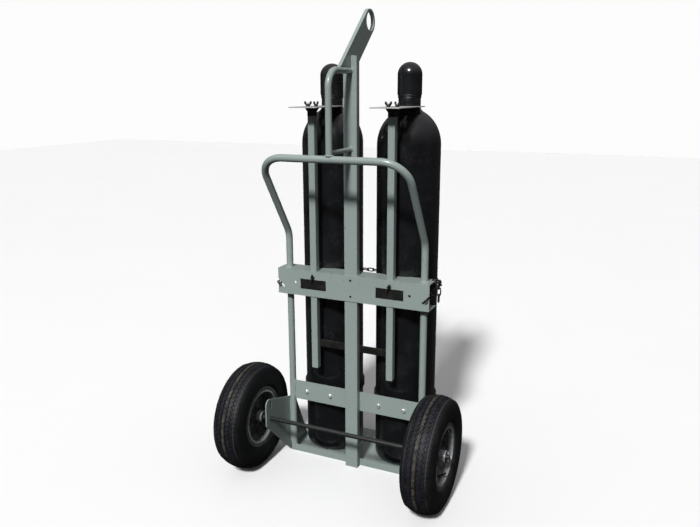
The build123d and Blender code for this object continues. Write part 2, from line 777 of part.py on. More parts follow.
def chain_route():
    """Taut line in plan: left slot, left upright, both cylinders' fronts, right upright, right slot."""
    post_turn = chain_end_x() - upright_x
    bottle_turn = cyl_r + link_inner_w / 2 + 2 * wire_r + 1.5
    start = Vector(-(upright_x + post_turn), channel_face_y - 2)
    dx = upright_x - cyl_x
    dy = cyl_y - upright_y
    lean = asin((bottle_turn - post_turn) / hypot(dx, dy))
    heading = atan2(dy, dx) + lean
    side = Vector(-sin(heading), cos(heading))
    a = Vector(-upright_x, upright_y) + side * post_turn
    b = Vector(-cyl_x, cyl_y) + side * bottle_turn
    post_mid = Vector(-upright_x, upright_y) + Vector(-cos(0.5 * (heading - pi / 2)),
                                                      sin(0.5 * (pi / 2 - heading))) * post_turn
    first = Vector(-upright_x - post_turn, upright_y)
    front = Vector(-cyl_x, cyl_y + bottle_turn)
    sweep_mid = (side + Vector(0, 1)).normalized() * bottle_turn + Vector(-cyl_x, cyl_y)

    def flat(v, sign=1):
        return (sign * v.X, v.Y, chain_z)

    left = [Line(flat(start), flat(first)), ThreePointArc(flat(first), flat(post_mid), flat(a)),
            Line(flat(a), flat(b)), ThreePointArc(flat(b), flat(sweep_mid), flat(front))]
    middle = Line(flat(front), flat(front, -1))
    right = [ThreePointArc(flat(front, -1), flat(sweep_mid, -1), flat(b, -1)),
             Line(flat(b, -1), flat(a, -1)),
             ThreePointArc(flat(a, -1), flat(post_mid, -1), flat(first, -1)),
             Line(flat(first, -1), flat(start, -1))]
    return Wire(left + [middle] + right)


def tail_x():
    return channel_half - 9.0


def tail_y():
    return channel_front_y - 16.0


def retaining_chain():
    route = chain_route()
    count = 2 * round(route.length / chain_pitch / 2)
    pitch = route.length / count
    link = chain_link(pitch)
    links = []
    for k in range(count + 1):
        t = k / count
        frame = Plane(origin=route.position_at(t), x_dir=route.tangent_at(t), z_dir=(0, 0, 1))
        links.append(frame.location * Rot(45 if k % 2 == 0 else -45, 0, 0) * link)
    reach = pitch / 2 + wire_r
    first = Pos(tail_x() + reach, tail_y(), channel_z1 - sheet_t / 2) * Rot(90, 0, 0) * link
    links.append(first)
    hang_x = tail_x() + 2 * reach - 2 * wire_r
    for k in range(3):
        drop = Pos(hang_x, tail_y(), channel_z1 - sheet_t / 2 - pitch / 2 - k * pitch)
        links.append(drop * Rot(0, 90, 0) * Rot(90 * (k % 2), 0, 0) * link)
    return Compound(children=links)


# ---------------------------------------------------------------- write every piece
save("handle_frame", handle_frame())
save("tube_foot_plugs", tube_foot_plugs())
save("centre_post", centre_post())
save("post_foot_plug", post_foot_plug())
save("lifting_eye_plate", lifting_eye())
save("loop_brace", loop_brace())
save("handle_strut", handle_strut())
save("cross_channel", cross_channel())
save("lower_crossbar", lower_crossbar())
save("rest_bar", rest_bar())
save("toe_plate", toe_plate())
save("axle", axle())
save("axle_spacers", axle_spacers())
save("axle_washers", axle_washers())
save("cotter_pins", cotter_pins())
save("band_bolts", band_bolts())
save("band_nuts", band_nuts())
save("retaining_chain", retaining_chain())

tyre_shape, rim_shape, hub_shape = tyre(), rim_half_shell(), hub()
for name, s in SIDES:
    place = wheel_place(s)
    save("side_plate_" + name, side_plate(s))
    save("tyre_" + name, place * tyre_shape)
    save("rim_outer_" + name, place * rim_shape)
    save("rim_inner_" + name, place * mirror(rim_shape, Plane.XY))
    save("hub_" + name, place * hub_shape)
    save("hub_bearings_" + name, place * hub_bearings())
    save("valve_stem_" + name, place * valve_stem())
    save("mast_" + name, mast(s))
    save("mast_head_" + name, mast_head(s))
    save("plate_studs_" + name, plate_studs(s))
    save("neck_plate_" + name, neck_plate(s))
    save("mast_guide_plate_" + name, mast_guide_plate(s))
    save("mast_lock_screw_" + name, lock_screw(s, lock_turn[s]))
    save("wing_nut_outer_" + name, wing_nut(s, s, outer_nut_turn[s]))
    save("wing_nut_inner_" + name, wing_nut(s, -s, inner_nut_turn[s]))
    save("lower_band_" + name, lower_band(s))
    save("gas_cylinder_" + name, gas_cylinder(s))
    save("neck_ring_" + name, neck_ring(s))
    save("valve_body_" + name, valve_body(s))
    save("valve_handwheel_" + name, valve_handwheel(s))
    save("cylinder_cap_" + name, cylinder_cap(s))
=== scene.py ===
"""Finished looks for a two-cylinder gas welding cart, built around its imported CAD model.

Everything is in metres: +Z up, +X to the right of a person at the handle, +Y forwards to the cylinders.
Each operator finishes one piece or one group of like pieces, and the last one sets up the stage.
"""

import json
from math import cos, pi, radians, sin

import bmesh
import bpy
import numpy as np
from bpy.props import FloatProperty, FloatVectorProperty, IntProperty, PointerProperty
from mathutils import Matrix, Vector

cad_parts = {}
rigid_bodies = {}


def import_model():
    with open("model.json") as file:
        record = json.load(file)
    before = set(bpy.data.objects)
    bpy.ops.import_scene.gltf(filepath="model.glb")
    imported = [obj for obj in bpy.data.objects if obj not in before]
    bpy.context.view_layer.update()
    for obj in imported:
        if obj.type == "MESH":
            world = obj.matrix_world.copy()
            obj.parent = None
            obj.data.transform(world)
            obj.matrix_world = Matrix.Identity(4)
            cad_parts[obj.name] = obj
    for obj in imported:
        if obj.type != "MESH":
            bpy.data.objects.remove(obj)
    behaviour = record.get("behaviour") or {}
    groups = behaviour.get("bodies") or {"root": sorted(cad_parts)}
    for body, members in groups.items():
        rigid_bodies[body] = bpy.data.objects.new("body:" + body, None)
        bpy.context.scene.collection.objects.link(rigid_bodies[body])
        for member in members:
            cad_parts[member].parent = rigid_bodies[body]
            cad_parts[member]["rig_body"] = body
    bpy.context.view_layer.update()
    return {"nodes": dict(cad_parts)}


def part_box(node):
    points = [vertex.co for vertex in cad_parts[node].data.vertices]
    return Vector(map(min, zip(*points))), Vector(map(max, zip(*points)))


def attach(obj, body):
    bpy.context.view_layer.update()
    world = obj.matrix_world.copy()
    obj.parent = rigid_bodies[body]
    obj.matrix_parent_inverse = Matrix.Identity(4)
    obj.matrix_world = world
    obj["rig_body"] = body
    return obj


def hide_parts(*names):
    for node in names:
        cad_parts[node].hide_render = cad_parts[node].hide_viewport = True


bl_info = {
    "name": "Gas cylinder cart",
    "version": (1, 0, 0),
    "blender": (4, 5, 0),
    "location": "3D View > Sidebar > Cart",
    "description": "Builds the finished pieces, materials and stage of a two-cylinder welding cart",
    "category": "Object",
}

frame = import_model()
NAMES = ("left", "right")
TAU = 2 * pi

# Sizes of the part that its boxes don't give, in metres
SHOULDER_RISE = 1.2236  # cylinder's foot to the start of its dome
DOME_RISE = 0.130
DOME_TO_RING_TOP = 0.182
CYLINDER_R = 0.115
NECK_R = 0.034
CAP_DOME, CAP_WALL = 0.043, 0.0035
STRUT_R = 0.008
BOLT_R = 0.00475
BOLT_X = (-0.2034, -0.1014, 0.1014, 0.2034)
BOLT_CHAMFER = 0.0013
TREAD_HALF = 0.039
CROWN_DROP = 0.0085  # how much lower the tread's edges are than its middle
TYRE_BEAD_R, TYRE_LIP_R = 0.10165, 0.1185
RIM_HALF = 0.0434

SAME_PLANE = radians(0.4)  # faces that differ by less are one flat face
CUT_EDGE = radians(42)  # edges that turn by more are cut edges


def middle(node):
    """Centre of a CAD node's box."""
    lo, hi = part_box(node)
    return (lo + hi) / 2


# ---------------------------------------------------------------- settings
def length(name, description, default):
    """Length setting."""
    return FloatProperty(name=name, description=description, default=default, min=0, unit="LENGTH", precision=5)


def colour(name, description, default):
    """Colour setting."""
    return FloatVectorProperty(name=name, description=description, default=default, min=0, max=1, size=3,
                               subtype="COLOR")


def share(name, description, default):
    """Setting from 0 to 1."""
    return FloatProperty(name=name, description=description, default=default, min=0, max=1, subtype="FACTOR")


class CartSizes(bpy.types.PropertyGroup):
    """Sizes of the detail that the finished pieces add to the CAD shapes."""

    tread_waves: IntProperty(name="Tread waves", description="Zigzags round the tyre", default=72, min=12, max=120)
    tread_swing: length("Tread swing", "How far a zigzag groove swings to each side", 0.0034)
    tread_depth: length("Tread depth", "Depth of the tread grooves", 0.005)
    groove_width: length("Groove width", "Width of a tread groove at the surface", 0.0046)
    weld_radius: length("Weld radius", "Radius of a weld bead", 0.0031)
    weld_ripple: length("Weld ripple", "Distance from one weld ripple to the next", 0.0034)
    thread_pitch: length("Thread pitch", "Distance from one thread crest to the next", 0.0015)
    thread_depth: length("Thread depth", "Depth of the bolt threads", 0.0008)
    edge_round: length("Edge rounding", "Width of the rounding on cut plate edges", 0.0007)
    sheet_round: length("Fold rounding", "Width of the rounding on the folded channel", 0.0016)


class CartFinish(bpy.types.PropertyGroup):
    """Colours of the finishes, linear."""

    frame_paint: colour("Frame paint", "Grey-green paint of the frame", (0.253, 0.304, 0.287))
    cylinder_paint: colour("Cylinder paint", "Gloss black of the gas cylinders and caps", (0.0052, 0.0055, 0.0066))
    black_oxide: colour("Black hardware", "Blackened steel of the clamps, nuts and chain", (0.010, 0.010, 0.010))
    zinc: colour("Zinc", "Bright plating of rims, hubs and bolts", (0.62, 0.64, 0.66))
    # Partly dirt and partly painted shade: this dark brown stands in for the shadow in the rims' dished faces and
    # outer lips.
    rim_film_and_shade: colour("Rim film", "Brown film that dulls the rims' dished faces", (0.024, 0.021, 0.015))
    galvanised: colour("Galvanised plate", "Dull zinc of the sliding neck plates", (0.60, 0.61, 0.59))
    axle_steel: colour("Axle steel", "Dark drawn steel of the axle", (0.030, 0.032, 0.032))
    rubber: colour("Tyre rubber", "Bluish black of the tyres", (0.0042, 0.0045, 0.0056))
    dust: colour("Dust", "Dry dust on rubber, rims and ledges", (0.19, 0.17, 0.135))
    brass: colour("Brass", "Cylinder valves under the caps", (0.55, 0.36, 0.13))
    cast_metal: colour("Cast metal", "Valve handwheels under the caps", (0.42, 0.43, 0.42))
    dust_amount: share("Dust amount", "How dusty the tyres and the rims' insides are", 0.5)


class CartStage(bpy.types.PropertyGroup):
    """Light and floor."""

    key_strength: FloatProperty(name="Key strength", description="Main light, the same everywhere", default=4.0)
    key_spread: FloatProperty(name="Key spread", description="How wide the main light looks, so how soft its "
                              "shadows are", default=radians(7), subtype="ANGLE")
    fill_power: FloatProperty(name="Fill power", description="Soft light from the left", default=3.5, unit="POWER")
    room: share("Room light", "Brightness of the light from the sides and below", 0.04)
    ceiling: share("Ceiling light", "Brightness of the light from straight above", 0.42)
    backdrop: share("Backdrop", "Brightness of the surroundings where they are seen", 0.98)
    floor: colour("Floor", "Pale floor", (0.84, 0.84, 0.84))


def sizes():
    """Detail sizes of this scene."""
    return bpy.context.scene.cart_sizes


def finish():
    """Finish colours of this scene."""
    return bpy.context.scene.cart_finish


# ---------------------------------------------------------------- surfaces
def grid_faces(rows, columns, wrap_rows, wrap_columns):
    """Quads of a grid of points numbered row by row, joined round where it wraps."""
    i = np.arange(rows if wrap_rows else rows - 1)[:, None]
    j = np.arange(columns if wrap_columns else columns - 1)[None, :]
    down, right = (i + 1) % rows, (j + 1) % columns
    corners = [i * columns + j, down * columns + j, down * columns + right, i * columns + right]
    return np.stack(np.broadcast_arrays(*corners), axis=-1).reshape(-1, 4)


def build(name, grids, body, material, replaced=(), sharp=38, across=None):
    """Makes one mesh from grids of points, (points, wrap rows, wrap columns), and hands it to the frame.

    Rows that meet in one point are merged there, and faces are turned outwards. across, one number for each
    point, becomes the mesh attribute that the material reads.
    """
    points, faces, count = [], [], 0
    for xyz, wrap_rows, wrap_columns in grids:
        rows, columns = xyz.shape[:2]
        points.append(xyz.reshape(-1, 3))
        faces.append(grid_faces(rows, columns, wrap_rows, wrap_columns) + count)
        count += rows * columns
    mesh = bpy.data.meshes.new(name)
    mesh.from_pydata(np.concatenate(points).tolist(), [], np.concatenate(faces).tolist())
    if across is not None:
        mesh.attributes.new("across", "FLOAT", "POINT").data.foreach_set("value", across.ravel())
    clean(mesh)
    mesh.shade_smooth()
    mesh.set_sharp_from_angle(angle=radians(sharp))
    mesh.materials.append(material)
    return hand_over(bpy.data.objects.new(name, mesh), body, replaced)


def clean(mesh, flat=None):
    """Merges points that coincide and turns faces outwards. With flat, triangles on one plane become one face."""
    work = bmesh.new()
    work.from_mesh(mesh)
    bmesh.ops.remove_doubles(work, verts=work.verts, dist=2e-6)
    if flat is not None:
        bmesh.ops.dissolve_limit(work, angle_limit=flat, verts=work.verts, edges=work.edges)
    bmesh.ops.recalc_face_normals(work, faces=work.faces)
    work.to_mesh(mesh)
    work.free()


def hand_over(piece, body, replaced):
    """Links a piece, says its body, and hides the CAD nodes that it stands for."""
    bpy.context.scene.collection.objects.link(piece)
    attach(piece, body)
    if replaced:
        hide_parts(*replaced)
    return piece


def turned(profile, centre, steps=128):
    """A profile of (radius, height) rows carried round the Z axis: x = r cos a, y = r sin a, z = height."""
    a = np.linspace(0, TAU, steps, endpoint=False)
    r, h = np.asarray(profile, float).T[:, :, None]
    return np.stack([r * np.cos(a), r * np.sin(a), h + 0 * a], axis=-1) + np.array(centre)


def bow(start, end, bulge, steps=10):
    """Points on a quadratic curve from start to end, pulled towards bulge: weights (1-t)^2, 2t(1-t) and t^2."""
    t = np.linspace(0, 1, steps)[:, None]
    a, b, c = (np.array(p, float) for p in (start, bulge, end))
    return (1 - t) ** 2 * a + 2 * t * (1 - t) * b + t * t * c


def dome(r, z, height, r_end=0.0, steps=28):
    """Quarter ellipse from its rim (r, z) up to radius r_end: radius r cos t, height z + height sin t."""
    t = np.linspace(0, np.arccos(r_end / r), steps)
    return np.stack([r * np.cos(t), z + height * np.sin(t)], axis=-1)


def triangle_wave(x):
    """1 at whole numbers, -1 halfway between them, straight lines in between."""
    return 1 - 4 * np.abs((x + 0.5) % 1 - 0.5)


def threaded(r, depth, pitch, z0, z1, centre, axis="Z", steps=20):
    """Screw thread: radius r less depth times a triangle wave of height / pitch - angle / turn, with cone ends.

    The wave is scaled to run from 0 to 1, so r is the radius over the crests.
    """
    rows = max(int((z1 - z0) / pitch * 4), 8)
    z = np.linspace(z0, z1, rows)[:, None]
    a = np.linspace(0, TAU, steps, endpoint=False)[None, :]
    wave = 0.5 - 0.5 * triangle_wave(z / pitch - a / TAU)
    end = np.clip(np.minimum(z - z0, z1 - z) / (2 * depth), 0, 1)
    radius = (r - depth * wave) * (0.8 + 0.2 * end)
    body = np.stack([radius * np.cos(a), radius * np.sin(a), z + 0 * a], axis=-1)
    caps = [np.repeat([[[0, 0, h]]], steps, axis=1) for h in (z0, z1)]
    points = np.concatenate([caps[0], body, caps[1]])
    return lay(points, centre, axis)


def lay(points, centre, axis):
    """Turns points drawn along Z so that they run along an axis, and moves them to a centre."""
    x, y, z = np.moveaxis(points, -1, 0)
    turned_points = {"X": (z, x, y), "Y": (y, z, x), "Z": (x, y, z)}[axis]
    return np.stack(turned_points, axis=-1) + np.array(centre)


def hexagon(r, h, chamfer, hole, centre, axis):
    """Hexagon head or nut: at each angle the radius is the flat's distance / cos(angle from its middle).

    Near its far face, at height h, it is cut by a cone, so the corners are chamfered. hole 0 closes the middle.
    """
    steps = 72
    a = np.linspace(0, TAU, steps, endpoint=False)
    flat = r * cos(pi / 6) / np.cos((a % (pi / 3)) - pi / 6)
    heights = np.array([0, 0, h - np.sign(h) * chamfer, h, h, 0])
    limits = [hole, None, r, r - 1.7 * chamfer, hole, hole]
    rows = [np.full(steps, m) if m == hole else (flat if m is None else np.minimum(flat, m)) for m in limits]
    radius = np.stack(rows)
    points = np.stack([radius * np.cos(a), radius * np.sin(a), heights[:, None] + 0 * a], axis=-1)
    return lay(points, centre, axis)


def bead(path, lean, radius, ripple, closed=False):
    """Weld bead: a small round section carried along a path, its radius rippled by a saw-tooth of the length.

    lean is the direction the bead faces. An open bead shrinks to a point at both ends.
    """
    path = np.asarray(path, float)
    gap = np.linalg.norm(np.diff(path, axis=0), axis=1)
    run = np.concatenate([[0], np.cumsum(gap)])
    total = run[-1]
    rows = max(int(total / ripple) * 5, 12)
    s = np.linspace(0, total, rows, endpoint=not closed)
    line = np.stack([np.interp(s, run, path[:, k]) for k in range(3)], axis=-1)
    ahead = np.roll(line, -1, axis=0) - np.roll(line, 1, axis=0) if closed else np.gradient(line, axis=0)
    ahead /= np.linalg.norm(ahead, axis=1, keepdims=True)
    up = np.array(lean, float) - ahead * (ahead @ np.array(lean, float))[:, None]
    up /= np.linalg.norm(up, axis=1, keepdims=True)
    side = np.cross(ahead, up)
    size = radius * (1 - 0.22 * (s / ripple % 1) + 0.07 * np.sin(s / ripple * 0.7))
    if not closed:
        size *= np.sqrt(np.clip(1 - np.abs(2 * s / total - 1) ** 14, 0, 1))
    turn = np.linspace(0, TAU, 10, endpoint=False)[None, :, None]
    ring = np.cos(turn) * up[:, None, :] + np.sin(turn) * side[:, None, :]
    return line[:, None, :] + size[:, None, None] * ring


def ring_path(centre, r, normal, start=0.0, end=TAU, steps=49):
    """Circle, or part of one, of radius r about a centre, in the plane across normal."""
    a = np.linspace(start, end, steps)
    flat = np.stack([r * np.cos(a), r * np.sin(a), 0 * a], axis=-1)
    return lay(flat, centre, normal)


def rounded_copy(node, width, material, segments=2):
    """A merged copy of a flat-sided CAD node with its cut edges rounded, riding where the node rides."""
    original = frame["nodes"][node]
    mesh = original.data.copy()
    mesh.name = node + "_finished"
    mesh.normals_split_custom_set([(0, 0, 0)] * len(mesh.loops))
    clean(mesh, flat=SAME_PLANE)
    mesh.materials.clear()
    mesh.materials.append(material)
    piece = bpy.data.objects.new(node + "_finished", mesh)
    edge = piece.modifiers.new("edges", "BEVEL")
    edge.width, edge.segments, edge.limit_method = width, segments, "ANGLE"
    edge.angle_limit, edge.harden_normals, edge.use_clamp_overlap = CUT_EDGE, True, True
    mesh.shade_smooth()
    mesh.set_sharp_from_angle(angle=CUT_EDGE)
    return hand_over(piece, original["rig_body"], [node])


def repaint(material, *nodes):
    """Gives CAD nodes a finished material and leaves their meshes as they are."""
    for node in nodes:
        for slot in frame["nodes"][node].material_slots:
            slot.material = material


# ---------------------------------------------------------------- shader groups
def add(tree, kind, inputs=None, **settings):
    """Adds a node, sets its properties, and links or sets each named input."""
    made = tree.nodes.new(kind)
    for key, value in settings.items():
        setattr(made, key, value)
    for key, value in (inputs or {}).items():
        if isinstance(value, bpy.types.NodeSocket):
            tree.links.new(value, made.inputs[key])
        else:
            made.inputs[key].default_value = value
    return made


def calc(tree, operation, a, b=0.0, clamp=False):
    """Result of one sum on sockets or numbers."""
    return add(tree, "ShaderNodeMath", {0: a, 1: b}, operation=operation, use_clamp=clamp).outputs[0]


def noise(tree, vector, scale, detail=4.0, rough=0.55):
    """Level of a noise, about 0.5 on average."""
    sockets = {"Vector": vector, "Scale": scale, "Detail": detail, "Roughness": rough}
    return add(tree, "ShaderNodeTexNoise", sockets).outputs["Fac"]


def step(tree, value, low, high, to_low=0.0, to_high=1.0):
    """Smooth ramp of a value from low to high."""
    sockets = {"Value": value, "From Min": low, "From Max": high, "To Min": to_low, "To Max": to_high}
    return add(tree, "ShaderNodeMapRange", sockets, interpolation_type="SMOOTHSTEP").outputs["Result"]


def blend(tree, amount, a, b, mode="MIX"):
    """Colour a with colour b mixed over it by amount."""
    made = add(tree, "ShaderNodeMix", {"Factor": amount}, data_type="RGBA", blend_type=mode)
    for index, value in ((6, a), (7, b)):
        if isinstance(value, bpy.types.NodeSocket):
            tree.links.new(value, made.inputs[index])
        else:
            made.inputs[index].default_value = value
    return made.outputs[2]


def new_group(name, inputs, outputs):
    """Empty shader group with named sockets, (name, kind, default), and its two end nodes."""
    tree = bpy.data.node_groups.new(name, "ShaderNodeTree")
    for label, kind, default in inputs:
        socket = tree.interface.new_socket(label, in_out="INPUT", socket_type="NodeSocket" + kind)
        if default is not None:
            socket.default_value = default
    for label, kind in outputs:
        tree.interface.new_socket(label, in_out="OUTPUT", socket_type="NodeSocket" + kind)
    return tree, tree.nodes.new("NodeGroupInput").outputs, tree.nodes.new("NodeGroupOutput").inputs


def patchy_tone():
    """Colour that drifts: large soft patches and fine mottling darken or lighten it by a share."""
    tree, given, out = new_group("patchy tone", [("Vector", "Vector", None), ("Colour", "Color", None),
                                                 ("Scale", "Float", 6.0), ("Amount", "Float", 0.1)],
                                 [("Colour", "Color")])
    large = noise(tree, given["Vector"], given["Scale"], 3)
    fine = noise(tree, given["Vector"], calc(tree, "MULTIPLY", given["Scale"], 17), 5, 0.7)
    both = calc(tree, "ADD", calc(tree, "MULTIPLY", large, 0.65), calc(tree, "MULTIPLY", fine, 0.35))
    swing = calc(tree, "MULTIPLY", calc(tree, "SUBTRACT", both, 0.5), calc(tree, "MULTIPLY", given["Amount"], 4))
    factor = calc(tree, "ADD", 1, swing)
    grey = add(tree, "ShaderNodeCombineColor", {0: factor, 1: factor, 2: factor}).outputs[0]
    tree.links.new(blend(tree, 1.0, given["Colour"], grey, "MULTIPLY"), out["Colour"])
    return tree


def dust_film():
    """Dust over a colour: thick where noise is high, and more on faces that look up."""
    tree, given, out = new_group("dust film", [("Vector", "Vector", None), ("Colour", "Color", None),
                                               ("Dust", "Color", None), ("Amount", "Float", 0.3),
                                               ("Upward", "Float", 0.6), ("Scale", "Float", 9.0)],
                                 [("Colour", "Color"), ("Mask", "Float")])
    normal = add(tree, "ShaderNodeNewGeometry").outputs["Normal"]
    up = add(tree, "ShaderNodeSeparateXYZ", {"Vector": normal}).outputs["Z"]
    facing = calc(tree, "MULTIPLY", step(tree, up, 0.1, 1.0), given["Upward"])
    patch = step(tree, noise(tree, given["Vector"], given["Scale"], 6, 0.65), 0.42, 0.68)
    speck = step(tree, noise(tree, given["Vector"], calc(tree, "MULTIPLY", given["Scale"], 60), 2), 0.35, 0.75)
    mask = calc(tree, "MULTIPLY", calc(tree, "ADD", patch, facing), given["Amount"], clamp=True)
    mask = calc(tree, "MULTIPLY", mask, calc(tree, "ADD", 0.45, calc(tree, "MULTIPLY", speck, 0.7)), clamp=True)
    tree.links.new(blend(tree, mask, given["Colour"], given["Dust"]), out["Colour"])
    tree.links.new(mask, out["Mask"])
    return tree


def fine_scratches():
    """Thin broken lines: the crests of a noise stretched along one axis, kept where a second noise allows."""
    tree, given, out = new_group("fine scratches", [("Vector", "Vector", None), ("Stretch", "Vector", (60, 60, 4)),
                                                    ("Amount", "Float", 0.5)], [("Mask", "Float")])
    long_way = add(tree, "ShaderNodeMapping", {"Vector": given["Vector"], "Scale": given["Stretch"],
                                               "Rotation": (0.11, 0.07, 0.2)}).outputs["Vector"]
    ridge = calc(tree, "ABSOLUTE", calc(tree, "SUBTRACT", noise(tree, long_way, 3.0, 2), 0.5))
    line = step(tree, ridge, 0.0, 0.012, 1.0, 0.0)
    allowed = step(tree, noise(tree, given["Vector"], 13.0, 3), 0.52, 0.66)
    tree.links.new(calc(tree, "MULTIPLY", calc(tree, "MULTIPLY", line, allowed), given["Amount"]), out["Mask"])
    return tree


def surface_grain():
    """Height of a surface: a slow waviness plus a fine grain, each with its own scale and share."""
    tree, given, out = new_group("surface grain", [("Vector", "Vector", None), ("Wave scale", "Float", 20.0),
                                                   ("Wave", "Float", 0.5), ("Grain scale", "Float", 700.0),
                                                   ("Grain", "Float", 0.5)], [("Height", "Float")])
    wave = calc(tree, "MULTIPLY", noise(tree, given["Vector"], given["Wave scale"], 2), given["Wave"])
    grain = calc(tree, "MULTIPLY", noise(tree, given["Vector"], given["Grain scale"], 3), given["Grain"])
    tree.links.new(calc(tree, "ADD", wave, grain), out["Height"])
    return tree


def broken_gloss():
    """Roughness that varies: a base value raised and lowered in smears and fine specks."""
    tree, given, out = new_group("broken gloss", [("Vector", "Vector", None), ("Base", "Float", 0.4),
                                                  ("Spread", "Float", 0.1), ("Scale", "Float", 12.0)],
                                 [("Roughness", "Float")])
    smear = noise(tree, given["Vector"], given["Scale"], 4, 0.6)
    speck = noise(tree, given["Vector"], calc(tree, "MULTIPLY", given["Scale"], 25), 2)
    both = calc(tree, "SUBTRACT", calc(tree, "ADD", smear, calc(tree, "MULTIPLY", speck, 0.5)), 0.75)
    swing = calc(tree, "MULTIPLY", both, calc(tree, "MULTIPLY", given["Spread"], 3))
    value = calc(tree, "ADD", given["Base"], swing)
    tree.links.new(calc(tree, "MAXIMUM", value, 0.06), out["Roughness"])
    return tree


GROUPS = {}


def effect(tree, maker, **inputs):
    """Places a shared group in a material, and returns its outputs."""
    if maker not in GROUPS:
        GROUPS[maker] = maker()
    placed = add(tree, "ShaderNodeGroup", node_tree=GROUPS[maker])
    for key, value in inputs.items():
        label = key.replace("_", " ")
        label = label[0].upper() + label[1:]
        if isinstance(value, bpy.types.NodeSocket):
            tree.links.new(value, placed.inputs[label])
        else:
            placed.inputs[label].default_value = value
    return placed.outputs


def tinted(tree, where, colour, scale, amount):
    """The colour with a patchy tone."""
    return effect(tree, patchy_tone, vector=where, colour=rgba(colour), scale=scale, amount=amount)["Colour"]


def dusted(tree, where, base, dust, amount, upward, scale):
    """Colour and mask of a base with dust over it."""
    made = effect(tree, dust_film, vector=where, colour=base, dust=rgba(dust), amount=amount, upward=upward,
                  scale=scale)
    return made["Colour"], made["Mask"]


def scratched(tree, where, stretch, amount):
    """Mask of fine scratches."""
    return effect(tree, fine_scratches, vector=where, stretch=stretch, amount=amount)["Mask"]


def glossed(tree, where, base, spread, scale):
    """Roughness with smears and specks."""
    return effect(tree, broken_gloss, vector=where, base=base, spread=spread, scale=scale)["Roughness"]


def grained(tree, where, wave_scale, wave, grain_scale, grain):
    """Height of a wavy, grainy surface."""
    return effect(tree, surface_grain, vector=where, wave_scale=wave_scale, wave=wave, grain_scale=grain_scale,
                  grain=grain)["Height"]


# ---------------------------------------------------------------- materials
def rgba(value):
    """A colour setting as four numbers."""
    return (*value, 1.0)


def new_material(name):
    """Empty material with a Principled shader: its tree, shader and Object coordinates."""
    material = bpy.data.materials.new(name)
    material.use_nodes = True
    tree = material.node_tree
    shader = tree.nodes["Principled BSDF"]
    where = add(tree, "ShaderNodeTexCoord").outputs["Object"]
    return material, tree, shader, where


def connect(tree, shader, base, roughness, height=None, strength=0.2, distance=0.0005):
    """Links a colour, a roughness and a bump height to the shader."""
    tree.links.new(base, shader.inputs["Base Color"])
    tree.links.new(roughness, shader.inputs["Roughness"])
    if height is not None:
        bump = add(tree, "ShaderNodeBump", {"Height": height, "Strength": strength, "Distance": distance})
        tree.links.new(bump.outputs["Normal"], shader.inputs["Normal"])


def frame_paint():
    """Semi-gloss paint over steel: slow drift of tone, a light film of dust, rubbed lines, chips, orange peel."""
    material, tree, shader, where = new_material("frame_paint_finish")
    tone = tinted(tree, where, finish().frame_paint, 5.0, 0.055)
    dusty, _ = dusted(tree, where, tone, (0.33, 0.33, 0.29), 0.16, 0.5, 7.0)
    worn = blend(tree, scratched(tree, where, (70, 70, 9), 0.30), dusty, (0.40, 0.43, 0.41, 1))
    chips = step(tree, noise(tree, where, 85.0, 2), 0.735, 0.755)
    worn = blend(tree, chips, worn, (0.07, 0.075, 0.07, 1))
    height = grained(tree, where, 28.0, 0.35, 520.0, 0.6)
    dented = calc(tree, "SUBTRACT", height, calc(tree, "MULTIPLY", chips, 0.5))
    connect(tree, shader, worn, glossed(tree, where, 0.30, 0.08, 9.0), dented, 0.16, 0.0004)
    shader.inputs["Coat Weight"].default_value = 0.15
    shader.inputs["Coat Roughness"].default_value = 0.18
    return material


def weld_paint():
    """The frame's paint over weld metal: the same tone, darker in the ripples, with coarse spatter."""
    material, tree, shader, where = new_material("weld_paint_finish")
    tone = tinted(tree, where, finish().frame_paint, 26.0, 0.12)
    soot = step(tree, noise(tree, where, 160.0, 4), 0.5, 0.7)
    base = blend(tree, calc(tree, "MULTIPLY", soot, 0.35), tone, (0.10, 0.12, 0.11, 1))
    height = grained(tree, where, 240.0, 0.7, 1400.0, 0.3)
    connect(tree, shader, base, glossed(tree, where, 0.44, 0.1, 40.0), height, 0.35, 0.0006)
    return material


def cylinder_paint():
    """Gloss black over drawn steel: slow waviness, scuffs from other cylinders, thin dust on the shoulder."""
    material, tree, shader, where = new_material("cylinder_paint_finish")
    tone = tinted(tree, where, finish().cylinder_paint, 7.0, 0.16)
    dusty, _ = dusted(tree, where, tone, (0.035, 0.036, 0.042), 0.22, 0.6, 6.0)
    scuff = scratched(tree, where, (22, 22, 95), 0.35)
    marks = calc(tree, "MAXIMUM", scuff, scratched(tree, where, (80, 80, 7), 0.25))
    base = blend(tree, marks, dusty, (0.10, 0.10, 0.105, 1))
    gloss = glossed(tree, where, 0.25, 0.10, 8.0)
    rough = calc(tree, "ADD", gloss, calc(tree, "MULTIPLY", marks, 0.2), clamp=True)
    connect(tree, shader, base, rough, grained(tree, where, 13.0, 1.0, 420.0, 0.10), 0.22, 0.0012)
    shader.inputs["Coat Weight"].default_value = 0.30
    shader.inputs["Coat Roughness"].default_value = 0.09
    shader.inputs["Specular IOR Level"].default_value = 0.45
    return material


def black_hardware():
    """Blackened steel: brownish cast where it is handled, bright rubbed specks, forged grain."""
    material, tree, shader, where = new_material("black_hardware_finish")
    tone = tinted(tree, where, finish().black_oxide, 30.0, 0.2)
    dusty, _ = dusted(tree, where, tone, (0.10, 0.085, 0.06), 0.28, 0.5, 34.0)
    base = blend(tree, scratched(tree, where, (90, 90, 40), 0.5), dusty, (0.16, 0.16, 0.155, 1))
    height = grained(tree, where, 150.0, 0.5, 1100.0, 0.5)
    connect(tree, shader, base, glossed(tree, where, 0.46, 0.12, 40.0), height, 0.28, 0.0004)
    shader.inputs["Metallic"].default_value = 0.35
    return material


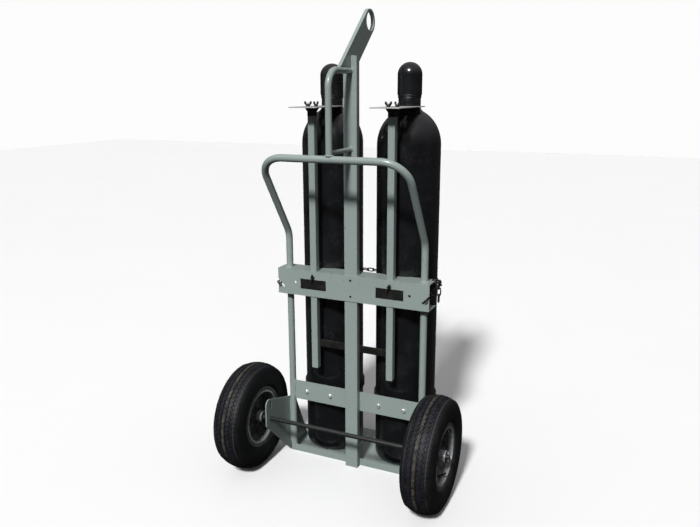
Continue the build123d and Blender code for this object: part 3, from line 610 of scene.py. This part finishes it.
def plated(name, base_colour, rough, spread, dust_amount, spangle=0.0, metal=0.9, streak=(160, 160, 160)):
    """Plated or bare metal: clouded tone, brushed lines, crystals where spangle is above 0, dust in patches."""
    material, tree, shader, where = new_material(name)
    base = tinted(tree, where, base_colour, 14.0, 0.10)
    if spangle:
        cell = add(tree, "ShaderNodeTexVoronoi", {"Vector": where, "Scale": 140.0, "Randomness": 1.0})
        level = add(tree, "ShaderNodeSeparateColor", {0: cell.outputs["Color"]}).outputs[0]
        shade = calc(tree, "ADD", 1 - spangle, calc(tree, "MULTIPLY", level, 2 * spangle))
        grey = add(tree, "ShaderNodeCombineColor", {0: shade, 1: shade, 2: shade}).outputs[0]
        base = blend(tree, 1.0, base, grey, "MULTIPLY")
    dusty, mask = dusted(tree, where, base, finish().dust, dust_amount, 0.3, 22.0)
    lines = scratched(tree, where, streak, 0.4)
    gloss = glossed(tree, where, rough, spread, 26.0)
    rough_all = calc(tree, "ADD", gloss, calc(tree, "MULTIPLY", mask, 0.35), clamp=True)
    rough_all = calc(tree, "ADD", rough_all, calc(tree, "MULTIPLY", lines, 0.15), clamp=True)
    connect(tree, shader, dusty, rough_all, grained(tree, where, 70.0, 0.3, 900.0, 0.4), 0.12, 0.0004)
    metallic = calc(tree, "SUBTRACT", metal, calc(tree, "MULTIPLY", mask, metal), clamp=True)
    tree.links.new(metallic, shader.inputs["Metallic"])
    return material


def tyre_rubber():
    """Rubber with dust in the middle rib, a bluish bloom beside it and a pale line at each edge of the tread.

    They are placed across the tyre, from 0 in the tread's middle to 1 at the widest point of a wall.
    """
    material, tree, shader, where = new_material("tyre_rubber_finish")
    across = add(tree, "ShaderNodeAttribute", attribute_name="across").outputs["Fac"]
    place = calc(tree, "ABSOLUTE", across)
    tone = tinted(tree, where, finish().rubber, 12.0, 0.16)
    bloom = calc(tree, "MULTIPLY", step(tree, place, 0.14, 0.20), step(tree, place, 0.62, 0.50))
    bloom = calc(tree, "MULTIPLY", bloom, step(tree, noise(tree, where, 40.0, 6, 0.8), 0.40, 0.60))
    base = blend(tree, calc(tree, "MULTIPLY", bloom, 0.8), tone, (0.015, 0.0165, 0.024, 1))
    edge = calc(tree, "MULTIPLY", step(tree, place, 0.640, 0.668), step(tree, place, 0.712, 0.684))
    edge = calc(tree, "MULTIPLY", edge, step(tree, noise(tree, where, 9.0, 4), 0.32, 0.60))
    base = blend(tree, calc(tree, "MULTIPLY", edge, 0.8), base, (0.050, 0.053, 0.062, 1))
    ragged = calc(tree, "ADD", place, calc(tree, "MULTIPLY", noise(tree, where, 60.0, 3), 0.05))
    rib = step(tree, ragged, 0.145, 0.085)
    worn = step(tree, noise(tree, where, 42.0, 5, 0.75), 0.36, 0.62)
    speck = step(tree, noise(tree, where, 420.0, 2), 0.25, 0.7)
    grit = calc(tree, "ADD", 0.35, speck)
    ground_in = calc(tree, "MULTIPLY", calc(tree, "MULTIPLY", rib, worn), grit, clamp=True)
    ground_in = calc(tree, "MULTIPLY", ground_in, finish().dust_amount * 0.75, clamp=True)
    base = blend(tree, ground_in, base, rgba(finish().dust))
    dusty, _ = dusted(tree, where, base, (0.045, 0.042, 0.036), finish().dust_amount * 0.35, 0.25, 15.0)
    height = grained(tree, where, 110.0, 0.4, 1300.0, 0.6)
    connect(tree, shader, dusty, glossed(tree, where, 0.60, 0.10, 30.0), height, 0.30, 0.0004)
    shader.inputs["Specular IOR Level"].default_value = 0.24
    return material


def stem_rubber():
    """Soft black rubber of the air valves."""
    material, tree, shader, where = new_material("valve_rubber_finish")
    tone = tinted(tree, where, (0.010, 0.010, 0.011), 60.0, 0.2)
    dusty, _ = dusted(tree, where, tone, (0.08, 0.07, 0.05), 0.3, 0.3, 60.0)
    height = grained(tree, where, 300.0, 0.3, 1800.0, 0.5)
    connect(tree, shader, dusty, glossed(tree, where, 0.62, 0.1, 60.0), height, 0.2, 0.0003)
    return material


MADE = {}


def material(maker, *values):
    """The finish, made the first time it is asked for."""
    if (maker, values) not in MADE:
        MADE[(maker, values)] = maker(*values)
    return MADE[(maker, values)]


def bright_zinc():
    """Clean plating of bolts, nuts, studs and pins."""
    return plated("zinc_finish", finish().zinc, 0.30, 0.09, 0.04, metal=0.6)


def rim_zinc_and_shade():
    """Plated rim or hub: clean on the barrel's outer part and the hub's ends, elsewhere under a brown film that is
    partly dirt and partly painted shade for the dished faces and outer lip, which lie in shadow.

    The film's edges are read from the distance from the wheel's middle plane and from the axle.
    """
    made = plated("rim_zinc_shaded_finish", finish().zinc, 0.26, 0.10, finish().dust_amount * 0.16, metal=0.55)
    tree = made.node_tree
    shader = tree.nodes["Principled BSDF"]
    clean_base, clean_metal, clean_rough = (shader.inputs[k].links[0].from_socket
                                            for k in ("Base Color", "Metallic", "Roughness"))
    hub = middle("hub_right")
    where = add(tree, "ShaderNodeTexCoord").outputs["Object"]
    from_hub = add(tree, "ShaderNodeVectorMath", {0: where, 1: (0, -hub.y, -hub.z)}, operation="ADD").outputs[0]
    flat = add(tree, "ShaderNodeVectorMath", {0: from_hub, 1: (0, 1, 1)}, operation="MULTIPLY").outputs[0]
    radius = add(tree, "ShaderNodeVectorMath", {0: flat}, operation="LENGTH").outputs["Value"]
    uneven = calc(tree, "MULTIPLY", calc(tree, "SUBTRACT", noise(tree, where, 18.0, 4), 0.5), 0.010)
    along = add(tree, "ShaderNodeSeparateXYZ", {"Vector": where}).outputs["X"]
    depth = calc(tree, "SUBTRACT", calc(tree, "ABSOLUTE", along), hub.x)
    depth = calc(tree, "ADD", calc(tree, "ABSOLUTE", depth), uneven)
    # Painted shade with dirt: the dish and the outer lip get the dark film because they lie in shadow.
    dish_film_and_shade = step(tree, depth, 0.025, 0.032, 1.0, 0.03)
    flange_film_and_shade = step(tree, radius, 0.1010, 0.1035, 0.0, 0.9)
    film = calc(tree, "MAXIMUM", dish_film_and_shade, flange_film_and_shade)
    streaks = step(tree, noise(tree, where, 55.0, 5, 0.7), 0.3, 0.7, 0.8, 1.0)
    film = calc(tree, "MULTIPLY", film, streaks, clamp=True)
    # The film darkens the base colour, as painted shade and dirt together.
    tree.links.new(blend(tree, film, clean_base, rgba(finish().rim_film_and_shade)), shader.inputs["Base Color"])
    dull = calc(tree, "SUBTRACT", 1, calc(tree, "MULTIPLY", film, 0.8))
    tree.links.new(calc(tree, "MULTIPLY", clean_metal, dull), shader.inputs["Metallic"])
    rough = calc(tree, "ADD", clean_rough, calc(tree, "MULTIPLY", film, 0.25), clamp=True)
    tree.links.new(rough, shader.inputs["Roughness"])
    return made


def dull_galvanised():
    """Zinc crystals of the neck plates, gone dull."""
    return plated("galvanised_finish", finish().galvanised, 0.46, 0.08, 0.08, spangle=0.12, metal=0.55)


def drawn_steel():
    """Dark steel drawn along the axle."""
    return plated("axle_steel_finish", finish().axle_steel, 0.38, 0.10, 0.05, metal=0.5, streak=(10, 220, 220))


def machined_brass():
    """Turned brass of the cylinder valves."""
    return plated("brass_finish", finish().brass, 0.28, 0.06, 0.05, metal=1.0, streak=(200, 200, 20))


def cast_aluminium():
    """Sand-cast grain of the handwheels."""
    return plated("cast_metal_finish", finish().cast_metal, 0.48, 0.08, 0.10)


# ---------------------------------------------------------------- pieces
class CartStep(bpy.types.Operator):
    """One stage of the cart's finish."""

    bl_options = {"REGISTER", "UNDO"}


class CART_OT_tube_frame(CartStep):
    """Paint on the tubes, whose CAD shapes are already right"""

    bl_idname = "cart.tube_frame"
    bl_label = "Tube frame"

    def execute(self, context):
        repaint(material(frame_paint), "handle_frame", "loop_brace", "handle_strut", "tube_foot_plugs")
        return {"FINISHED"}


class CART_OT_plates(CartStep):
    """Post, masts, folded channel, crossbar, toe plate, side plates and lifting eye with rounded edges"""

    bl_idname = "cart.plates"
    bl_label = "Post and plates"

    def execute(self, context):
        fine, fold = sizes().edge_round, sizes().sheet_round
        widths = {"cross_channel": fold, "lower_crossbar": fine, "toe_plate": fine, "side_plate_left": fine,
                  "side_plate_right": fine, "lifting_eye_plate": fine, "centre_post": fine / 2,
                  "post_foot_plug": fine, "mast_left": fine / 2, "mast_right": fine / 2}
        for node, width in widths.items():
            rounded_copy(node, width, material(frame_paint))
        return {"FINISHED"}


class CART_OT_welds(CartStep):
    """Rippled weld beads where tubes, post, channel and plates meet"""

    bl_idname = "cart.welds"
    bl_label = "Weld beads"

    def execute(self, context):
        size, ripple = sizes().weld_radius, sizes().weld_ripple
        post_lo, post_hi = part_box("centre_post")
        chan_lo, chan_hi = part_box("cross_channel")
        bar_lo, bar_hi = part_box("lower_crossbar")
        tube_lo, tube_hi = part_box("handle_frame")
        strut = middle("handle_strut")
        cylinder_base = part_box("gas_cylinder_left")[0].z
        brace_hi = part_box("loop_brace")[1]
        plug_lo, plug_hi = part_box("tube_foot_plugs")
        eye_lo, eye_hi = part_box("lifting_eye_plate")
        tube_r = (plug_hi.y - plug_lo.y) / 2
        tube_y = (plug_hi.y + plug_lo.y) / 2
        tube_x = plug_hi.x - tube_r
        brace_r = brace_hi.x
        handle_y = tube_lo.y + tube_r
        plate_low, plate_high, plate_half = 0.030, 0.226, 0.0055
        grids = []  # each bead's middle line lies up to 0.6 mm off its corner, so that it bites into both faces

        def ring(centre, r, normal, lean, start=0.0, end=TAU):
            """Bead round a tube or bar of radius r."""
            whole = end - start == TAU
            path = ring_path(centre, r + size * 0.3, normal, start, end)
            grids.append((bead(path, lean, size, ripple, whole), whole, True))

        def seam(a, b, lean, scale=1.0):
            """Straight bead from a to b."""
            grids.append((bead([a, b], lean, size * scale, ripple), False, True))

        ring((0, post_lo.y - 0.0003, brace_hi.z - brace_r), brace_r, "Y", (0, -1, 0))
        ring((0, post_lo.y - 0.0003, strut.z), STRUT_R, "Y", (0, -1, 0))
        ring((0, handle_y, tube_hi.z + 0.0002), brace_r, "Z", (0, 0, 1))
        for s in (-1, 1):
            x = s * tube_x
            ring((x, tube_y, chan_hi.z), tube_r, "Z", (0, 0, 1))
            ring((x, tube_y, chan_lo.z), tube_r, "Z", (0, 0, -1))
            ring((x, tube_y, cylinder_base), tube_r, "Z", (0, 0, 1), 0.1, pi - 0.1)
            inner, back = x - s * (tube_r - 0.0006), bar_lo.y - 0.0002
            seam((inner, back, bar_lo.z + 0.003), (inner, back, bar_hi.z - 0.003), (0, -1, 0))
            plate = x + s * (tube_r - 0.0004)
            for dy in (-plate_half, plate_half):
                seam((plate, tube_y + dy, plate_low), (plate, tube_y + dy, plate_high), (0, dy, 0), 0.85)
            edge, front = s * post_hi.x, post_hi.y + 0.0004
            for z, way in ((chan_hi.z, 1), (chan_lo.z, -1)):
                seam((edge, post_lo.y + 0.001, z), (edge, post_hi.y, z), (0, 0, way), 0.85)
            seam((edge, front, bar_lo.z + 0.002), (edge, front, bar_hi.z - 0.002), (s, 0, 0), 0.8)
            side = s * (eye_hi.x + 0.0006)
            seam((side, post_lo.y, eye_lo.z + 0.004), (side, post_lo.y, post_hi.z - 0.003), (0, -1, 0), 0.8)
            seam((side, post_lo.y + 0.002, post_hi.z), (side, post_hi.y - 0.002, post_hi.z), (0, 0, 1), 0.8)
        build("weld_beads", grids, "cart_frame", material(weld_paint), sharp=60)
        return {"FINISHED"}


class CART_OT_tyres(CartStep):
    """Tyres with zigzag tread grooves, notched shoulders, ringed walls and beads"""

    bl_idname = "cart.tyres"
    bl_label = "Tyres"

    def execute(self, context):
        size = sizes()
        for name in NAMES:
            lo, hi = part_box("tyre_" + name)
            points, across = tyre_surface(hi.z, (hi.x - lo.x) / 2, size)
            centre = np.array((lo + hi) / 2)
            build("tyre_%s_tread" % name, [(points + centre, True, True)], name + "_wheel",
                  material(tyre_rubber), ["tyre_" + name], 32, across)
        return {"FINISHED"}


def tyre_surface(top, half, size):
    """Tyre about the X axis, as lines carried round it: across the tread, down a wall, inside and back.

    Returns the points and each point's distance across the tyre as a share of its half width.
    """
    radius = top / 2
    turns = np.arange(size.tread_waves * 6) / (size.tread_waves * 6)
    notch = np.clip(3 * np.cos(turns * size.tread_waves * TAU) - 1.6, 0, 1)[None, :]
    tread_h, tread_r = tread_lines(radius, turns, notch, size)
    wall_h, wall_r = wall_lines(radius - CROWN_DROP, radius * 0.77, half, turns, notch)
    inner_h, inner_r = inside_lines(turns)
    right_h, right_r = np.concatenate([wall_h, inner_h]), np.concatenate([wall_r, inner_r])
    all_h = np.concatenate([tread_h, right_h, -right_h[-2::-1]])
    all_r = np.concatenate([tread_r, right_r, right_r[-2::-1]])
    a = turns[None, :] * TAU
    points = np.stack([all_h, all_r * np.cos(a), all_r * np.sin(a)], axis=-1)
    return points, all_h / half


def tread_lines(radius, turns, notch, size):
    """Lines of the tread, from its left edge to its right: distance from the middle plane and radius.

    A line on a groove's edge swings by a triangle wave of the angle. The radius is the crown's arc, less the
    groove's depth, less the notches at the tread's edges.
    """
    w, d = size.groove_width / 2, size.tread_depth
    slope = 0.0009
    rows = []
    for g, phase in ((-0.026, 0.5), (-0.009, 0.0), (0.009, 0.5), (0.026, 0.0)):
        rows += [(g - w, 0.0, 1.0, phase), (g - w + slope, d, 1.0, phase),
                 (g + w - slope, d, 1.0, phase), (g + w, 0.0, 1.0, phase)]
    plain = (0.0, 0.0175, 0.0325, 0.0355, TREAD_HALF)
    rows += [(h, 0.0, 0.0, 0.0) for h in sorted({side * h for side in (-1, 1) for h in plain})]
    middle_line, depth, swings, phase = np.array(sorted(rows)).T[:, :, None]
    wave = triangle_wave(turns[None, :] * size.tread_waves + phase)
    h = middle_line + size.tread_swing * swings * wave
    crown_r = (TREAD_HALF ** 2 + CROWN_DROP ** 2) / 2 / CROWN_DROP
    r = radius - crown_r + np.sqrt(crown_r ** 2 - h ** 2) - depth
    outer = np.clip((np.abs(middle_line) - 0.0330) / 0.002, 0, 1)
    return h, r - 0.0015 * notch * outer


def wall_lines(shoulder_r, widest_r, half, turns, notch):
    """Lines of the right wall, from the tread to the bead: distance from the middle plane and radius.

    The wall bulges as a power of the root of 1 - t^2, where t runs from the widest radius to either end. Raised
    rings are narrow bell curves of the radius, and the flutes under the tread follow its notches.
    """
    t = np.linspace(0, 1, 26)[1:, None]
    wall_r = shoulder_r + (TYRE_LIP_R - shoulder_r) * t
    above = np.clip(1 - ((wall_r - widest_r) / (shoulder_r - widest_r)) ** 2, 0, 1)
    below = np.clip(1 - ((wall_r - widest_r) / (widest_r - TYRE_LIP_R)) ** 2, 0, 1)
    foot = RIM_HALF + 0.0025
    h = np.where(wall_r > widest_r, TREAD_HALF + (half - TREAD_HALF) * np.sqrt(above) ** 0.95,
                 foot + (half - foot) * np.sqrt(below) ** 1.1)
    for ring_r, wide, high in ((0.1795, 0.0016, 0.0009), (0.1275, 0.0020, 0.0010), (0.1210, 0.0012, 0.0008)):
        h = h + high * np.exp(-((wall_r - ring_r) / wide) ** 2)
    flute = 0.0011 * np.exp(-((wall_r - 0.1885) / 0.0036) ** 2) * notch
    return np.minimum(h, half) - flute, wall_r + 0 * turns


def inside_lines(turns):
    """Lines of the right bead and the hollow inside: the radius rises as a quarter sine to the middle plane."""
    t = np.linspace(0, 1, 14)[1:, None]
    bead_end = 0.0305
    bead_h = np.array([RIM_HALF, RIM_HALF, bead_end])[:, None]
    bead_r = np.array([TYRE_LIP_R - 0.0015, TYRE_BEAD_R, TYRE_BEAD_R])[:, None]
    hollow_h = bead_end + 0.014 * np.sin(pi * t) - bead_end * t ** 3
    hollow_r = TYRE_BEAD_R + 0.090 * np.sin(pi / 2 * t)
    return np.concatenate([bead_h, hollow_h]) + 0 * turns, np.concatenate([bead_r, hollow_r]) + 0 * turns


class CART_OT_rims(CartStep):
    """Pressed rims, hubs, bearings and air valves"""

    bl_idname = "cart.rims"
    bl_label = "Rims and hubs"

    def execute(self, context):
        for name in NAMES:
            repaint(material(rim_zinc_and_shade), "rim_outer_" + name, "rim_inner_" + name, "hub_" + name)
            repaint(material(drawn_steel), "hub_bearings_" + name)
            repaint(material(stem_rubber), "valve_stem_" + name)
        return {"FINISHED"}


class CART_OT_axle(CartStep):
    """Axle, spacers, washers and cotter pins"""

    bl_idname = "cart.axle"
    bl_label = "Axle"

    def execute(self, context):
        repaint(material(drawn_steel), "axle", "axle_spacers", "axle_washers")
        repaint(material(bright_zinc), "cotter_pins")
        return {"FINISHED"}


class CART_OT_cylinders(CartStep):
    """Gas cylinders: dished foot, straight wall and long domed shoulder"""

    bl_idname = "cart.cylinders"
    bl_label = "Gas cylinders"

    def execute(self, context):
        for name in NAMES:
            lo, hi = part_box("gas_cylinder_" + name)
            r, base, neck_top = (hi.x - lo.x) / 2, lo.z, hi.z
            shoulder, valve_bore = base + SHOULDER_RISE, 0.013
            dish, corner = (0.063, base + 0.012), 0.022  # edge of the hollow foot, and the rounding outside it
            profile = np.concatenate([
                [(0, base + 0.014), dish], bow(dish, (r - corner, base), (0.086, base + 0.010)),
                bow((r - corner, base), (r, base + corner), (r - 0.001, base + 0.001), 12),
                np.stack([np.full(28, r), np.linspace(base + 0.05, shoulder - 0.02, 28)], axis=-1),
                dome(r, shoulder, DOME_RISE, NECK_R, 40),
                [(NECK_R, neck_top), (valve_bore, neck_top), (0, neck_top)]])
            centre = middle("gas_cylinder_" + name)
            grid = turned(profile, (centre.x, centre.y, 0), steps=160)
            build("gas_cylinder_%s_shell" % name, [(grid, False, True)], "cart_frame",
                  material(cylinder_paint), ["gas_cylinder_" + name])
        return {"FINISHED"}


class CART_OT_neck_rings(CartStep):
    """Neck rings that flow into the shoulder and carry the cap's thread, a triangle wave of height and angle"""

    bl_idname = "cart.neck_rings"
    bl_label = "Neck rings"

    def execute(self, context):
        for name in NAMES:
            lo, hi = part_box("neck_ring_" + name)
            r, base, top = (hi.x - lo.x) / 2, lo.z, hi.z
            foot_r, bore_r = r + 0.0115, NECK_R + 0.0001
            foot_z = top - DOME_TO_RING_TOP + DOME_RISE * (1 - (foot_r / CYLINDER_R) ** 2) ** 0.5
            flare = bow((foot_r, foot_z - 0.0004), (r, base + 0.0075), (r + 0.0015, base + 0.0005), 12)
            outer = np.concatenate([flare, [(r, base + 0.020), (r, top - 0.018)]])
            inner = [(r - 0.003, top), (0.030, top), (0.030, top - 0.041), (bore_r, top - 0.041),
                     (bore_r, base + 0.0005), (foot_r - 0.004, foot_z + 0.0007)]
            centre, steps, pitch, half_depth = middle("neck_ring_" + name), 128, 0.0036, 0.0007
            z = np.linspace(top - 0.0175, top - 0.002, 30)[:, None]
            a = np.linspace(0, TAU, steps, endpoint=False)[None, :]
            thread = r - half_depth * (1 + triangle_wave(z / pitch - a / TAU))
            threads = np.stack([thread * np.cos(a), thread * np.sin(a), z + 0 * a], axis=-1)
            low, high = turned(outer, (0, 0, 0), steps), turned(inner, (0, 0, 0), steps)
            points = np.concatenate([low, threads, high]) + np.array((centre.x, centre.y, 0))
            build("neck_ring_%s_threaded" % name, [(points, True, True)], "cart_frame",
                  material(cylinder_paint), ["neck_ring_" + name])
        return {"FINISHED"}


class CART_OT_caps(CartStep):
    """Hollow screw-on caps with a round top and a drawn-in collar"""

    bl_idname = "cart.caps"
    bl_label = "Cylinder caps"

    def execute(self, context):
        for name in NAMES:
            lo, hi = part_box("cylinder_cap_" + name)
            r, base, top = (hi.x - lo.x) / 2, lo.z, hi.z
            collar, bore = r - 0.002, r - CAP_WALL
            outer = np.concatenate([
                [(r - 0.0026, base), (collar, base + 0.0008), (collar, base + 0.0090)],
                bow((collar, base + 0.0090), (r, base + 0.0150), (r - 0.0002, base + 0.0105), 6),
                [(r, base + 0.03), (r, base + 0.05)], dome(r, top - CAP_DOME, CAP_DOME, 0, 34)])
            inner = np.concatenate([dome(bore, top - CAP_DOME, CAP_DOME - CAP_WALL, 0, 22)[::-1],
                                    [(bore, base + 0.02), (bore, base + 0.0006)]])
            centre = middle("cylinder_cap_" + name)
            grid = turned(np.concatenate([outer, inner]), (centre.x, centre.y, 0), steps=112)
            build("cylinder_cap_%s_dome" % name, [(grid, True, True)], name + "_cap",
                  material(cylinder_paint), ["cylinder_cap_" + name])
        return {"FINISHED"}


class CART_OT_valves(CartStep):
    """Brass valves and cast handwheels under the caps"""

    bl_idname = "cart.valves"
    bl_label = "Valves"

    def execute(self, context):
        for name in NAMES:
            repaint(material(machined_brass), "valve_body_" + name)
            repaint(material(cast_aluminium), "valve_handwheel_" + name)
        return {"FINISHED"}


class CART_OT_clamps(CartStep):
    """Mast heads, guide plates, wing nuts and lock screws"""

    bl_idname = "cart.clamps"
    bl_label = "Clamps and wing nuts"

    def execute(self, context):
        for name in NAMES:
            for node in ("mast_head_", "mast_guide_plate_"):
                rounded_copy(node + name, sizes().edge_round, material(black_hardware))
            repaint(material(black_hardware), "mast_lock_screw_" + name, "wing_nut_outer_" + name,
                    "wing_nut_inner_" + name)
        return {"FINISHED"}


class CART_OT_neck_plates(CartStep):
    """Sliding galvanised forks that hold the cylinder necks"""

    bl_idname = "cart.neck_plates"
    bl_label = "Neck plates"

    def execute(self, context):
        for name in NAMES:
            rounded_copy("neck_plate_" + name, sizes().edge_round, material(dull_galvanised))
        return {"FINISHED"}


class CART_OT_studs(CartStep):
    """Threaded studs that stand in the mast heads"""

    bl_idname = "cart.studs"
    bl_label = "Neck plate studs"

    def execute(self, context):
        size = sizes()
        for name in NAMES:
            lo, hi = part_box("plate_studs_" + name)
            r = (hi.y - lo.y) / 2
            grids = [(threaded(r, size.thread_depth, size.thread_pitch, lo.z, hi.z, (x, lo.y + r, 0)), False, True)
                     for x in (lo.x + r, hi.x - r)]
            build("plate_studs_%s_threaded" % name, grids, name + "_mast", material(bright_zinc),
                  ["plate_studs_" + name], 50)
        return {"FINISHED"}


class CART_OT_bands(CartStep):
    """Straps round the feet of the cylinders, and the bar that the cylinders rest against"""

    bl_idname = "cart.bands"
    bl_label = "Lower bands"

    def execute(self, context):
        for name in NAMES:
            rounded_copy("lower_band_" + name, sizes().edge_round, material(black_hardware))
        rounded_copy("rest_bar", sizes().edge_round, material(black_hardware))
        return {"FINISHED"}


class CART_OT_band_bolts(CartStep):
    """Hexagon bolts and nuts that hold the bands to the crossbar"""

    bl_idname = "cart.band_bolts"
    bl_label = "Band bolts"

    def execute(self, context):
        size = sizes()
        lo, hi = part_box("band_bolts")
        nut_lo, nut_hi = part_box("band_nuts")
        z, face = (lo.z + hi.z) / 2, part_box("lower_crossbar")[0].y
        head_r, nut_h = hi.x - BOLT_X[-1], nut_hi.y - nut_lo.y
        bolts, nuts = [], []
        for x in BOLT_X:
            shank = threaded(BOLT_R, size.thread_depth, size.thread_pitch, face, hi.y, (x, 0, z), "Y")
            bolts.append((hexagon(head_r, lo.y - face, BOLT_CHAMFER, 0.0, (x, face, z), "Y"), True, True))
            bolts.append((shank, False, True))
            nuts.append((hexagon(head_r, nut_h, BOLT_CHAMFER, BOLT_R, (x, nut_lo.y, z), "Y"), True, True))
        build("band_bolts_hex", bolts, "cart_frame", material(bright_zinc), ["band_bolts"], 30)
        build("band_nuts_hex", nuts, "cart_frame", material(bright_zinc), ["band_nuts"], 30)
        return {"FINISHED"}


class CART_OT_chain(CartStep):
    """Retaining chain round both cylinders"""

    bl_idname = "cart.chain"
    bl_label = "Retaining chain"

    def execute(self, context):
        repaint(material(black_hardware), "retaining_chain")
        return {"FINISHED"}


# ---------------------------------------------------------------- stage
class CART_OT_stage(CartStep):
    """Pale floor, soft studio light and the camera"""

    bl_idname = "cart.stage"
    bl_label = "Stage"

    def execute(self, context):
        scene = context.scene
        stage = scene.cart_stage
        make_floor(stage)
        make_world(scene, stage)
        make_key(stage, Vector((0.07, -0.73, 0.68)))
        make_fill(stage, Vector((-0.80, -0.45, 0.35)), 4.0, 2.4)
        scene.camera = make_camera()
        scene.view_settings.view_transform = "Standard"
        return {"FINISHED"}


def make_floor(stage):
    """Flat square in the ground plane with a faint, slow change of tone."""
    reach = 14.0
    line = np.linspace(-reach, reach, 15)
    x, y = np.meshgrid(line, line, indexing="ij")
    mesh = bpy.data.meshes.new("floor")
    mesh.from_pydata(np.stack([x, y, 0 * x - 0.0004], axis=-1).reshape(-1, 3).tolist(), [],
                     grid_faces(15, 15, False, False).tolist())
    floor_material, tree, shader, where = new_material("pale_floor")
    tone = effect(tree, patchy_tone, vector=where, colour=rgba(stage.floor), scale=0.8, amount=0.012)
    gloss = effect(tree, broken_gloss, vector=where, base=0.7, spread=0.03, scale=2.0)
    connect(tree, shader, tone["Colour"], gloss["Roughness"])
    mesh.materials.append(floor_material)
    floor = bpy.data.objects.new("floor", mesh)
    floor.visible_diffuse = floor.visible_glossy = False
    bpy.context.scene.collection.objects.link(floor)


def make_world(scene, stage):
    """Even white surroundings: bright where they are seen, dimmer as a source of light."""
    scene.world = bpy.data.worlds.new("studio")
    scene.world.use_nodes = True
    tree = scene.world.node_tree
    seen = add(tree, "ShaderNodeLightPath").outputs["Is Camera Ray"]
    way = add(tree, "ShaderNodeTexCoord").outputs["Generated"]
    height = add(tree, "ShaderNodeSeparateXYZ", {"Vector": way}).outputs["Z"]
    light = step(tree, height, -0.05, 0.95, stage.room, stage.ceiling)
    sockets = {"Value": seen, "To Min": light, "To Max": stage.backdrop}
    strength = add(tree, "ShaderNodeMapRange", sockets).outputs["Result"]
    back = tree.nodes["Background"]
    back.inputs["Color"].default_value = (1, 1, 1, 1)
    tree.links.new(strength, back.inputs["Strength"])


def aim(light, target):
    """Turns a light towards a point."""
    light.rotation_euler = (target - light.location).to_track_quat("-Z", "Y").to_euler()
    bpy.context.scene.collection.objects.link(light)


def make_key(stage, direction):
    """Wide sun from behind the right shoulder, equally bright over the whole floor."""
    data = bpy.data.lights.new("key_light", "SUN")
    data.energy, data.angle = stage.key_strength, stage.key_spread
    key = bpy.data.objects.new("key_light", data)
    key.location = direction.normalized() * 4
    aim(key, Vector((0, 0, 0)))


def make_fill(stage, direction, distance, width):
    """Large dim panel that lifts the shadows on the left."""
    data = bpy.data.lights.new("fill_light", "AREA")
    data.energy, data.size = stage.fill_power, width
    fill = bpy.data.objects.new("fill_light", data)
    target = Vector((0, 0, 0.75))
    fill.location = target + direction.normalized() * distance
    aim(fill, target)


def make_camera():
    """Camera at standing height behind the right wheel, looking slightly down and to the left."""
    yaw, pitch, roll = radians(24.82), radians(14.14), radians(-0.26)
    ahead = Vector((-sin(yaw) * cos(pitch), cos(yaw) * cos(pitch), -sin(pitch)))
    level = Vector((cos(yaw), sin(yaw), 0))
    rise = level.cross(ahead)
    right = cos(roll) * level + sin(roll) * rise
    up = cos(roll) * rise - sin(roll) * level
    data = bpy.data.cameras.new("camera")
    data.lens, data.sensor_width, data.sensor_fit = 35.67, 36.0, "HORIZONTAL"
    camera = bpy.data.objects.new("camera", data)
    turn = Matrix((right, up, -ahead)).transposed()
    camera.matrix_world = Matrix.Translation((1.01655, -2.21476, 1.42661)) @ turn.to_4x4()
    bpy.context.scene.collection.objects.link(camera)
    return camera


# ---------------------------------------------------------------- panel and registration
STEPS = (CART_OT_tube_frame, CART_OT_plates, CART_OT_welds, CART_OT_tyres, CART_OT_rims, CART_OT_axle,
         CART_OT_cylinders, CART_OT_neck_rings, CART_OT_caps, CART_OT_valves, CART_OT_clamps, CART_OT_neck_plates,
         CART_OT_studs, CART_OT_bands, CART_OT_band_bolts, CART_OT_chain, CART_OT_stage)


class CART_PT_panel(bpy.types.Panel):
    """Lists the cart's steps and settings"""

    bl_idname = "CART_PT_panel"
    bl_label = "Gas cylinder cart"
    bl_space_type = "VIEW_3D"
    bl_region_type = "UI"
    bl_category = "Cart"

    def draw(self, context):
        scene = context.scene
        for step_class in STEPS:
            self.layout.operator(step_class.bl_idname)
        for group in (scene.cart_sizes, scene.cart_finish, scene.cart_stage):
            box = self.layout.box()
            for key in group.__annotations__:
                box.prop(group, key)


SETTINGS = {"cart_sizes": CartSizes, "cart_finish": CartFinish, "cart_stage": CartStage}


def register():
    """Registers the classes and puts the settings on the scene."""
    for cls in (*SETTINGS.values(), *STEPS, CART_PT_panel):
        bpy.utils.register_class(cls)
    for key, cls in SETTINGS.items():
        setattr(bpy.types.Scene, key, PointerProperty(type=cls))


def unregister():
    """Takes back what register did."""
    for key in SETTINGS:
        delattr(bpy.types.Scene, key)
    for cls in reversed((*SETTINGS.values(), *STEPS, CART_PT_panel)):
        bpy.utils.unregister_class(cls)


def main():
    """Registers the add-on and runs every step."""
    register()
    for step_class in STEPS:
        group, name = step_class.bl_idname.split(".")
        getattr(getattr(bpy.ops, group), name)()


if __name__ == "__main__":
    main()
